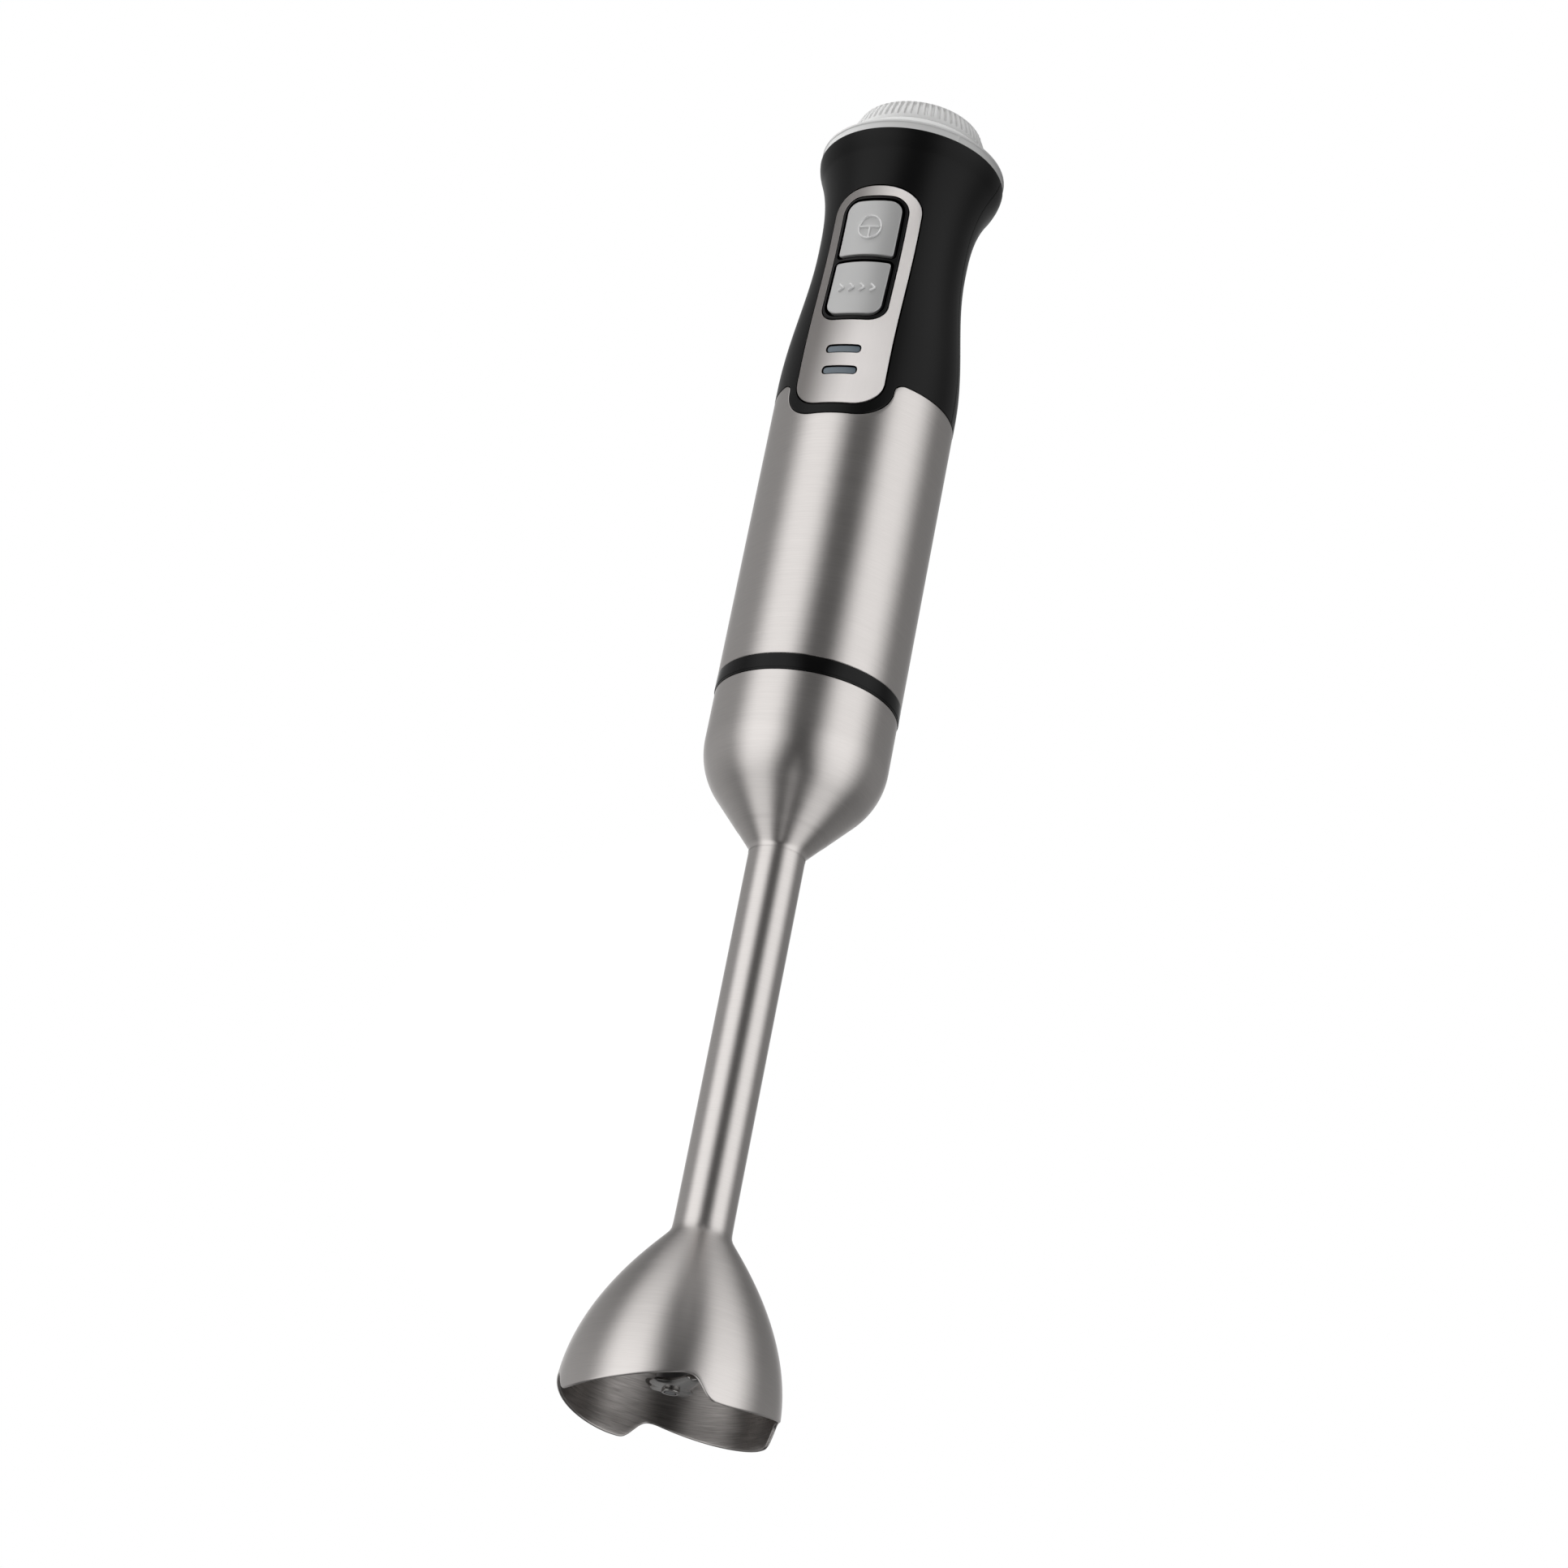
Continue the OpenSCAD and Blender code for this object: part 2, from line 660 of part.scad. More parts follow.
module lower_bearing() {
    bore_r = motor_shaft_r + run_gap;
    top = bracket_z0 + bearing_h - 1;
    color(bush_bronze) union() {
        ring(bearing_r, bore_r, bracket_z0, top);
        ring(bearing_r + bearing_lip, bore_r, bracket_z0 + bracket_t, top);
    }
}

module upper_bracket() {
    holder_top = brush_z + brush_h / 2 + brush_wall;
    color(black) difference() {
        union() {
            rod(bracket_r, upper_plate_z0, motor_top);
            ring(bracket_r, bracket_in_r, stack_top, upper_plate_z0 + 1);
            for (a = [0, 180]) rotate([0, 0, a])
                translate([-brush_w / 2, commutator_r + 2 * holder_gap, holder_top])
                    cube([brush_w, holder_len - 2 * holder_gap, upper_plate_z0 - holder_top + 1]);
        }
        rod(bearing_r, upper_plate_z0 - 1, motor_top + 1);
        screw_rods(screw_r + fit_gap, stack_top - 1, motor_top + 1);
        screw_rods(screw_head_r + fit_gap, motor_top - screw_head_h - fit_gap, motor_top + 1);
    }
}

module upper_bearing() {
    color(bush_bronze) union() {
        ring(bearing_r, motor_shaft_r + run_gap, upper_plate_z0, motor_top);
        ring(bearing_r + bearing_lip, motor_shaft_r + run_gap, motor_top, motor_top + bearing_lip);
    }
}

module arc_block(r, t, a0, a1, z0, z1) {
    rotate([0, 0, a0]) rotate_extrude(angle = a1 - a0) translate([r, z0]) square([t, z1 - z0]);
}

module stator_core() {
    clear = move_gap;
    color(dark_steel) difference() {
        translate([0, 0, stack_z0]) linear_extrude(stack_top - stack_z0) difference() {
            intersection() {
                circle(r = stator_r);
                square([3 * stator_r, 2 * stator_flat], center = true);
            }
            circle(r = rotor_r + air_gap);
        }
        for (side = [0, 180], a = [coil_a0, -coil_a1])
            arc_block(coil_r - clear, coil_t + 2 * clear, side + a - 1, side + a + coil_a1 - coil_a0 + 1,
                      stack_z0 - 1, stack_top + 1);
        screw_rods(screw_r + fit_gap, stack_z0 - 1, stack_top + 1);
    }
}

// Each coil is wound round its pole: two sides in the pockets and a turn over each end of the stack
module field_coils() {
    color(copper) for (side = [0, 180]) difference() {
        arc_block(coil_r, coil_t, side - coil_a1, side + coil_a1,
                  stack_z0 - end_turn_h, stack_top + end_turn_h);
        arc_block(coil_r - 1, coil_t + 2, side - coil_a0, side + coil_a0,
                  stack_z0 - fit_gap, stack_top + fit_gap);
    }
}

module stator_screws() {
    color(steel) {
        screw_rods(screw_r, bracket_z0 + 1, motor_top - 1);
        screw_rods(screw_head_r, motor_top - screw_head_h, motor_top);
    }
}

module brush_holders() {
    color(brass) for (a = [0, 180]) rotate([0, 0, a]) difference() {
        translate([-brush_w / 2 - brush_wall, commutator_r + holder_gap, brush_z - brush_h / 2 - brush_wall])
            cube([brush_w + 2 * brush_wall, holder_len, brush_h + 2 * brush_wall]);
        translate([-brush_w / 2 - fit_gap, 0, brush_z - brush_h / 2 - fit_gap])
            cube([brush_w + 2 * fit_gap, commutator_r + holder_len, brush_h + 2 * fit_gap]);
    }
}

module carbon_brushes() {
    color(carbon) for (a = [0, 180]) rotate([0, 0, a])
        translate([-brush_w / 2, commutator_r + fit_gap, brush_z - brush_h / 2])
            cube([brush_w, brush_len, brush_h]);
}

// ---------- rotor ----------

module motor_shaft() {
    color(dark_steel) rod(motor_shaft_r, nose_z0 + 1, motor_top + 2.2);
}

module rotor_core() {
    slots = 12;
    color(dark_steel) translate([0, 0, stack_z0]) linear_extrude(stack_top - stack_z0) difference() {
        circle(r = rotor_r);
        circle(r = motor_shaft_r);
        for (i = [0:slots - 1]) rotate(360 * i / slots) translate([rotor_r - 6, -1]) square([7, 2]);
    }
}

module rotor_windings() {
    color(copper) for (z = [stack_z0 - end_turn_h, stack_top])
        ring(rotor_r - 1.5, motor_shaft_r, z, z + end_turn_h);
}

module commutator() {
    bars = 24;
    color(copper) union() {
        translate([0, 0, commutator_z0]) linear_extrude(commutator_h) difference() {
            circle(r = commutator_r);
            circle(r = motor_shaft_r);
            for (i = [0:bars - 1]) rotate(360 * i / bars) translate([commutator_r - 1, -0.2]) square([2, 0.4]);
        }
        ring(commutator_r - 1.5, motor_shaft_r, stack_top + end_turn_h, commutator_z0);
    }
}

module cooling_fan() {
    blades = 9;
    hub_r = motor_shaft_r + 3;
    color(pale_grey) union() {
        ring(fan_r, motor_shaft_r, fan_z0, fan_z0 + 1.2);
        ring(hub_r, motor_shaft_r, fan_z0, fan_z0 + fan_h);
        for (i = [0:blades - 1]) rotate([0, 0, 360 * i / blades]) translate([hub_r - 1, 0, fan_z0])
            rotate([0, 0, 18]) cube([fan_r - hub_r - 0.6, 1, fan_h]);
    }
}

module motor_coupler() {
    color(pale_grey) difference() {
        union() {
            translate([0, 0, nose_z0]) linear_extrude(nose_top - nose_z0) spline_star(0);
            rod(spline_reach + 0.4, nose_top, nose_top + nose_hub_h);
        }
        rod(motor_shaft_r, nose_z0 + 1, nose_top + nose_hub_h + 1);
    }
}

// ---------- handle ----------

module above_barrel() {
    difference() {
        children();
        difference() {
            ring(grip_r + 5, barrel_in_r - fit_gap, foot_z - 2, handle_z0);
            foot_opening(-fit_gap);
        }
    }
}

module handle_front_shell() {
    reach = seam_angle - seam_trim;
    color(black) difference() {
        above_barrel() handle_wall(-shell_wall, 0, -reach, reach, shell_steps);
        intersection() {
            panel_wall(panel_proud - panel_t - fit_gap, shell_wall);
            front_prism(panel_z0) polygon(panel_outline(fit_gap));
        }
        front_prism(surround_z0) surround_outline(fit_gap);
    }
}

module handle_rear_shell() {
    color(black) difference() {
        above_barrel()
            handle_wall(-shell_wall, 0, seam_angle + seam_trim, 360 - seam_angle - seam_trim, shell_steps);
        translate([0, gland_in_y, gland_z]) rotate([-90, 0, 0])
            cylinder(r = gland_r + fit_gap, h = gland_len + shell_wall);
    }
}

module surround_outline(grow) {
    translate([0, -grow])
        polygon(rounded(surround_w + 2 * grow, surround_h + 2 * grow,
                        surround_low_r + grow, surround_top_r + grow));
}

module slot_outlines(grow) {
    for (i = [0, 1]) translate([0, slot_rise + i * slot_pitch - slot_h / 2 - grow])
        polygon(rounded(slot_w + 2 * grow, slot_h + 2 * grow, slot_h / 2.5, slot_h / 2.5));
}

module control_panel() {
    color(silver) intersection() {
        panel_wall(panel_proud - panel_t, panel_proud);
        front_prism(panel_z0) difference() {
            polygon(panel_outline());
            slot_outlines(0);
            translate([0, surround_rise]) surround_outline(fit_gap);
        }
    }
}

module indicator_lenses() {
    color(slate) intersection() {
        panel_wall(panel_proud - panel_t, panel_proud - 0.1);
        front_prism(panel_z0) slot_outlines(-fit_gap);
    }
}

module button_outline(h, r_low, r_top, grow) {
    translate([0, -grow]) polygon(rounded(button_w + 2 * grow, h + 2 * grow, r_low + grow, r_top + grow));
}

module button_surround() {
    color(rubber_black) intersection() {
        panel_wall(-shell_wall, surround_proud);
        front_prism(surround_z0) difference() {
            surround_outline(0);
            translate([0, turbo_z0 - surround_z0])
                button_outline(turbo_h, button_end_r, button_inner_r, move_gap);
            translate([0, power_z0 - surround_z0])
                button_outline(power_h, button_inner_r, button_end_r, move_gap);
        }
    }
}

// A cap that follows the handle's surface, with a stem that pushes its switch
module button(z0, h, r_low, r_top) {
    z = z0 + h / 2;
    cap_back = -handle_r(z) - handle_shift(z) + cap_depth;
    union() {
        intersection() {
            panel_wall(-cap_depth, button_proud);
            front_prism(z0) button_outline(h, r_low, r_top, 0);
        }
        translate([0, stem_end_y, z]) rotate([90, 0, 0])
            cylinder(r = stem_r, h = stem_end_y - cap_back + cap_depth / 2);
    }
}

module power_button() {
    color(silver) button(power_z0, power_h, button_inner_r, button_end_r);
}

module turbo_button() {
    color(silver) button(turbo_z0, turbo_h, button_end_r, button_inner_r);
}

// ---------- inside the handle ----------

module switch_frame() {
    z0 = surround_z0 - frame_margin;
    z1 = surround_top + frame_margin;
    color(black) difference() {
        intersection() {
            handle_wall(-waist_r / 2, -shell_wall - fit_gap, -seam_angle, seam_angle, shell_steps);
            union() {
                translate([-rail_x - rail_t, -head_r, z0])
                    cube([2 * (rail_x + rail_t), head_r + frame_back_y, z1 - z0]);
                for (x = [-rail_x - rail_t, rail_x])
                    translate([x, -head_r, z0]) cube([rail_t, head_r + rail_back_y, z1 - z0]);
            }
        }
        for (z = [turbo_z0 + turbo_h / 2, power_z0 + power_h / 2])
            translate([0, 0, z]) rotate([90, 0, 0]) cylinder(r = stem_r + move_gap, h = head_r);
    }
}

module control_board() {
    color(board_green) translate([-rail_x + fit_gap, board_y, board_z0])
        cube([2 * (rail_x - fit_gap), board_t, board_top - board_z0]);
}

module micro_switches() {
    w = 12.8;
    h = 6.5;
    color(black) for (z = [turbo_z0 + turbo_h / 2, power_z0 + power_h / 2]) union() {
        translate([-w / 2, board_y - switch_depth, z - h / 2]) cube([w, switch_depth, h]);
        translate([-1.2, board_y - switch_depth - actuator_len, z - 1]) cube([2.4, actuator_len + 1, 2]);
    }
}

module board_capacitor() {
    w = 18;
    color(capacitor_yellow) translate([-w / 2, board_face_y, board_z0 + 4]) cube([w, w / 2, 13]);
}

module choke_coil() {
    coil_out_r = 8;
    color(copper) translate([0, board_face_y, (board_z0 + board_top) / 2]) rotate([-90, 0, 0])
        ring(coil_out_r, coil_out_r - 4.5, 0, 7);
}

module terminal_block() {
    side = 9;
    w = 16;
    color(slate) translate([-w / 2, board_face_y, board_top - side - 3]) cube([w, side, side]);
}

// ---------- head ----------

module head_ring() {
    rim_r = head_r - 0.1;
    wall = 3.6;
    skirt_z0 = head_z0 - skirt_h;
    skirt_r = handle_r(skirt_z0) - shell_wall - 2 * fit_gap;
    hole_r = spindle_r + run_gap;
    edge = 0.6;
    mark_w = 1;
    mark_angle = 46;
    color(pale_grey) union() {
        rotate_extrude() polygon([
            [hole_r, seat_z - seat_t], [seat_r - wall, seat_z - seat_t],
            [rim_r - wall, ring_z1 - seat_t], [rim_r - wall, skirt_z0], [skirt_r, skirt_z0],
            [skirt_r, head_z0], [rim_r, head_z0], [rim_r, ring_z1 - edge], [rim_r - edge, ring_z1],
            [seat_r, seat_z], [hole_r, seat_z]]);
        rotate([0, 0, mark_angle]) translate([-mark_w / 2, -rim_r - mark_w / 5, head_z0 + edge])
            cube([mark_w, mark_w, ring_h - 2 * edge]);
    }
}

module speed_potentiometer() {
    color(dark_steel) difference() {
        union() {
            rod(pot_r, pot_top - pot_h, pot_top);
            rod(spindle_r + 1.6, pot_top - 1, seat_z - seat_t);
        }
        rod(spindle_r + run_gap, pot_top - pot_h + 1.5, seat_z);
    }
}

module speed_dial() {
    boss_r = spindle_r + dial_wall;
    roof = dial_top - dial_wall;
    edge_r = 1;
    color(pale_grey) rotate_extrude() polygon(concat(
        [[spindle_r, dial_z0], [boss_r, dial_z0], [boss_r, roof], [dial_top_r - dial_wall, roof],
         [dial_r - dial_wall, dial_z0 + edge_r], [dial_r - dial_wall, dial_z0], [dial_r, dial_z0],
         [dial_r, dial_z0 + dial_band_h]],
        arc(dial_top_r - edge_r, dial_top - edge_r, edge_r, 10, 80, 4),
        [[0, dial_top + dial_crown_h], [0, spindle_top], [spindle_r, spindle_top]]));
}

module dial_spindle() {
    color(brass) rod(spindle_r, pot_top - pot_h + 2, spindle_top);
}

module cord_gland() {
    color(rubber_black) translate([0, 0, gland_z]) rotate([-90, 0, 0]) difference() {
        union() {
            translate([0, 0, gland_in_y]) cylinder(r = gland_r, h = gland_out_y - gland_in_y);
            translate([0, 0, gland_in_y]) cylinder(r = gland_flange_r, h = 2);
        }
        translate([0, 0, gland_in_y - 1]) cylinder(r = cord_bore_r, h = gland_out_y - gland_in_y + 2);
    }
}

// ---------- nodes ----------

bell_guard();
shaft_tube();
coupling_cone();
leg_socket();
upper_bush();
bell_hub();
lower_bush();
shaft_seal();
drive_shaft();
blade();
blade_nut();
blade_spacer();
shaft_clip();
leg_coupler();
coupling_band();
lower_cap();
spigot_ring();
barrel_sleeve();
motor_carrier();
lower_vibration_ring();
upper_vibration_ring();
lower_bracket();
upper_bracket();
lower_bearing();
upper_bearing();
stator_core();
field_coils();
stator_screws();
brush_holders();
carbon_brushes();
motor_shaft();
rotor_core();
rotor_windings();
commutator();
cooling_fan();
motor_coupler();
handle_front_shell();
handle_rear_shell();
control_panel();
button_surround();
indicator_lenses();
power_button();
turbo_button();
switch_frame();
control_board();
micro_switches();
board_capacitor();
choke_coil();
terminal_block();
speed_potentiometer();
head_ring();
speed_dial();
dial_spindle();
cord_gland();
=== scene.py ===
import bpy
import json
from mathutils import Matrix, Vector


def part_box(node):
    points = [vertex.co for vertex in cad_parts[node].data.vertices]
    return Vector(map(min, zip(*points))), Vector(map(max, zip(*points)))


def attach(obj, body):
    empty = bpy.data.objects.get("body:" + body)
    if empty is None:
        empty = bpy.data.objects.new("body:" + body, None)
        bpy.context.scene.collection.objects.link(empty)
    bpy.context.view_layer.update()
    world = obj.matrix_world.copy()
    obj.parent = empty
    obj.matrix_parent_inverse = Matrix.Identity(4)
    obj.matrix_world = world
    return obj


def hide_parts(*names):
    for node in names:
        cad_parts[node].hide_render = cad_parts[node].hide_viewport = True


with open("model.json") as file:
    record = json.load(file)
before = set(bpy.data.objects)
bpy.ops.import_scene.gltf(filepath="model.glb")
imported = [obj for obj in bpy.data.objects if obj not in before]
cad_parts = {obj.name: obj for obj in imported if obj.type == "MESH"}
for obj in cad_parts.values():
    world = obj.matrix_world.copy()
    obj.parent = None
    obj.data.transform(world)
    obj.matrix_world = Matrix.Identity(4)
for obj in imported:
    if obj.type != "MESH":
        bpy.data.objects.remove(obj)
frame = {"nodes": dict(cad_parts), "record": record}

"""Looks of the immersion blender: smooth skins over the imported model, their finishes and a small studio.

Lengths are in metres and azimuths in degrees, counted from the panel's side (-Y) towards +X. Sizes come from
the frame's boxes; the named values below are those that a box doesn't give.
"""

import json
import math

import bmesh
import bpy
import numpy as np
from mathutils import Matrix, Vector
from mathutils.geometry import delaunay_2d_cdt

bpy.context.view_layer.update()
MM = 0.001


# ---------- places from the frame ----------

def low(node):
    """A node's lowest corner at rest."""
    return np.array(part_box(node)[0])


def high(node):
    """A node's highest corner at rest."""
    return np.array(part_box(node)[1])


BELL_R = high("coupling_cone")[0] + 3.8 * MM
COLLAR_TOP = high("bell_guard")[2]
TUBE_R = high("shaft_tube")[0]
TUBE_WALL = 0.8 * MM
CONE_Z0 = high("shaft_tube")[2]
CUP_R = high("coupling_cone")[0]
BAND_Z0 = low("coupling_band")[2]
BAND_R = high("coupling_band")[0]
BARREL_Z0 = low("barrel_sleeve")[2]
BARREL_R = high("barrel_sleeve")[0]
HANDLE_Z0 = high("barrel_sleeve")[2]
HEAD_Z0 = high("handle_front_shell")[2]
PANEL_Z0 = low("control_panel")[2]
PANEL_Z1 = high("control_panel")[2]
PANEL_HALF_W = high("control_panel")[0]
DIAL_Z0 = low("speed_dial")[2]
DIAL_R = high("speed_dial")[0]
DIAL_TOP_R = DIAL_R - 2.2 * MM
SEAT_Z = high("head_ring")[2]

# Bell: dome, wall and rim lobes
BELL_H = COLLAR_TOP - 3 * MM
BELL_STRAIGHT_H = 4 * MM
BELL_WALL = 1 * MM
DOME_GAIN = 1.04
DOME_POWER = 1.9
DOME_BLEND = 0.9 * MM
LOBES = 4
LOBE_H = 5.9 * MM
LOBE_SOFT = 2.6
LOBE_PHASE = 46.5
LOBE_FLAT = 4
LOBE_RISE = 70
LOBE_FALL = 74
LOBE_END = 87
LOBE_POWER = 1.4

# Cone and cup of the leg's coupling
CONE_ANGLE = math.radians(40.3)
SHOULDER_R = 24.1 * MM
CUP_WALL = 0.8 * MM

# Barrel and its opening round the panel's foot
BARREL_WALL = 0.8 * MM
PANEL_MARGIN = 3 * MM
FOOT_MARGIN = 3.5 * MM
MARGIN_FOOT_R = 10.5 * MM
EAR_R = 2.7 * MM

# Handle
WAIST_R = 23.46 * MM
WAIST_SHIFT = 2.1 * MM
NECK_Z = HANDLE_Z0 + 5 * MM
WAIST_Z = HANDLE_Z0 + 55.4 * MM
LIP_H = 5.9 * MM
LIP_Z = HEAD_Z0 - LIP_H
GRIP_R = BARREL_R + 0.08 * MM
HEAD_R = high("handle_front_shell")[0]
LIP_R = HEAD_R - 1.6 * MM
FLARE_POWER = 2.7
SHELL_WALL = 2.2 * MM
SEAM_ANGLE = 93
SEAM_HALF_GAP = 0.12 * MM
SHELL_EDGE = 0.35 * MM
SHELL_GAP = 0.1 * MM
SHELL_FIT = 0.15 * MM
GLAND_R = 5.5 * MM

# Panel and controls
PANEL_FOOT_R = 8.5 * MM
PANEL_CROWN_H = 9 * MM
CROWN_POWER = 0.8
PANEL_PROUD = 0.25 * MM
SURROUND_PROUD = 0.5 * MM
BUTTON_PROUD = 0.9 * MM
PRESS_GAP = 0.52 * MM
BUTTON_END_R = 3.7 * MM
BUTTON_INNER_R = 0.8 * MM
SURROUND_LOW_R = 5.2 * MM
SURROUND_TOP_R = 5.3 * MM
FOOT_BOW = 0.5 * MM
BOW_H = 12 * MM

# Blade
BLADE_T = 1.2 * MM
BLADE_REACH = 16 * MM
BLADE_HALF_W = 4.8 * MM
BLADE_RISE = 5.2 * MM
BLADE_TURN = 38
NOSE = 1.9 * MM

# Azimuths round the bell and the head ring, and rows along the longer pieces
HALF_DEGREES = np.arange(720) * 0.5
ROWS = 60


# ---------- curves and grids ----------

MERGE = 1e-7
SHARP_ANGLE = 40

def smoothstep(t):
    """0 below 0, 1 above 1 and 3t^2 - 2t^3 between."""
    t = np.clip(t, 0, 1)
    return t * t * (3 - 2 * t)


def arc(cx, cy, r, a0, a1, n=10):
    """Points of a circle's arc from a0 to a1 degrees."""
    a = np.radians(np.linspace(a0, a1, n))
    return np.column_stack([cx + r * np.cos(a), cy + r * np.sin(a)])


def lengths(chain):
    """Distance of each point along a chain of points."""
    return np.concatenate([[0], np.cumsum(np.linalg.norm(np.diff(chain, axis=0), axis=1))])


def even(curve, step, closed=True):
    """The curve with its points a step apart along its length."""
    chain = np.vstack([curve, curve[:1]]) if closed else curve
    length = lengths(chain)
    count = max(8, int(round(length[-1] / step)))
    at = np.linspace(0, length[-1], count + 1)
    if closed:
        at = at[:-1]
    return np.column_stack([np.interp(at, length, chain[:, k]) for k in (0, 1)])


def unit(vectors):
    """The vectors divided by their lengths."""
    return vectors / np.linalg.norm(vectors, axis=-1, keepdims=True)


def to_left(ways):
    """Unit vectors on the left of the given ones: each divided by its length and turned by 90 degrees."""
    x, y = unit(ways).T
    return np.column_stack([-y, x])


def inward(curve):
    """Unit normals of a closed counterclockwise curve, on the left of its chords."""
    return to_left(np.roll(curve, -1, axis=0) - np.roll(curve, 1, axis=0))


def rounded_corners(points, radii, n=6):
    """An open chain of points with each inner corner replaced by an arc of its own radius."""
    points = np.array(points, float)
    out = [points[:1]]
    for before, corner, after, radius in zip(points, points[1:], points[2:], radii):
        a, b = unit(before - corner), unit(after - corner)
        half = math.acos(np.clip(a @ b, -1, 1)) / 2
        reach = radius / math.tan(half)
        centre = corner + unit(a + b) * radius / math.sin(half)
        start, stop = corner + a * reach - centre, corner + b * reach - centre
        t = np.linspace(0, 1, n)[:, None]
        sweep = math.acos(np.clip(start @ stop / radius ** 2, -1, 1))
        bend = np.sin((1 - t) * sweep) * start + np.sin(t * sweep) * stop
        out.append(centre + bend / math.sin(sweep))
    out.append(points[-1:])
    return np.vstack(out)


def grid(points, wrap_rows=False, wrap_cols=True):
    """Quads over an array of rows and columns of points, joined round where it wraps."""
    rows, cols = points.shape[:2]
    index = np.arange(rows * cols).reshape(rows, cols)
    if wrap_rows:
        index = np.vstack([index, index[:1]])
    if wrap_cols:
        index = np.hstack([index, index[:, :1]])
    faces = np.stack([index[:-1, :-1], index[:-1, 1:], index[1:, 1:], index[1:, :-1]], -1)
    return points.reshape(-1, 3), faces.reshape(-1, 4)


def on_axis(r, azimuth, z):
    """Points at radius r and an azimuth in degrees round the Z axis."""
    a = np.radians(azimuth)
    r, a, z = np.broadcast_arrays(r, a, z)
    return np.stack([r * np.sin(a), -r * np.cos(a), z], axis=-1)


def turned(profile, columns):
    """A profile of radius and height, closed and carried round the Z axis."""
    profile = np.vstack([profile, profile[:1]])
    azimuth = np.arange(columns) * 360 / columns
    return grid(on_axis(profile[:, :1], azimuth[None, :], profile[:, 1:]))


def shaped(name, points, faces, slot, body, replaces, normals=None, look=None):
    """A smooth mesh with its slot's finish or another look, riding on its body.

    Where no normals are given, doubles are merged, the faces turned outwards and sharp edges kept.
    """
    mesh = bpy.data.meshes.new(name)
    mesh.from_pydata(points, [], faces)
    mesh.polygons.foreach_set("use_smooth", np.ones(len(mesh.polygons), bool))
    if normals is None:
        work = bmesh.new()
        work.from_mesh(mesh)
        bmesh.ops.remove_doubles(work, verts=work.verts, dist=MERGE)
        bmesh.ops.recalc_face_normals(work, faces=work.faces)
        work.to_mesh(mesh)
        work.free()
        mesh.set_sharp_from_angle(angle=math.radians(SHARP_ANGLE))
    else:
        mesh.normals_split_custom_set_from_vertices(normals)
    mesh.materials.append(FINISHES[look or slot])
    thing = add_object(name, mesh)
    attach(thing, body)
    if replaces:
        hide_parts(*replaces)


def piece(name, parts, slot, body, replaces=(), look=None):
    """One piece from several grids of vertices and faces."""
    starts = np.cumsum([0] + [len(points) for points, _ in parts])
    faces = np.vstack([polygons + start for start, (_, polygons) in zip(starts, parts)])
    points = np.vstack([points for points, _ in parts])
    shaped(name, points, faces.tolist(), slot, body, replaces, look=look)


def add_object(name, data):
    """A new object in the scene."""
    thing = bpy.data.objects.new(name, data)
    bpy.context.scene.collection.objects.link(thing)
    return thing


# ---------- shader maths ----------

class Value:
    """An output socket; arithmetic on it adds Math nodes to its tree."""

    def __init__(self, tree, socket):
        self.tree = tree
        self.socket = socket

    def maths(self, operation, *operands):
        """A new Math node's result, in this value's tree."""
        node = self.tree.nodes.new("ShaderNodeMath")
        node.operation = operation
        for socket, operand in zip(node.inputs, operands):
            join(self.tree, operand, socket)
        return Value(self.tree, node.outputs[0])

    def __add__(self, other):
        return self.maths("ADD", self, other)

    def __sub__(self, other):
        return self.maths("SUBTRACT", self, other)

    def __rsub__(self, other):
        return self.maths("SUBTRACT", other, self)

    def __mul__(self, other):
        return self.maths("MULTIPLY", self, other)

    def __truediv__(self, other):
        return self.maths("DIVIDE", self, other)

    def __pow__(self, other):
        return self.maths("POWER", self, other)

    __radd__ = __add__
    __rmul__ = __mul__


def join(tree, source, socket):
    """Links a Value to a socket, or sets the socket to a number, colour or vector."""
    if isinstance(source, Value):
        tree.links.new(source.socket, socket)
    else:
        socket.default_value = source


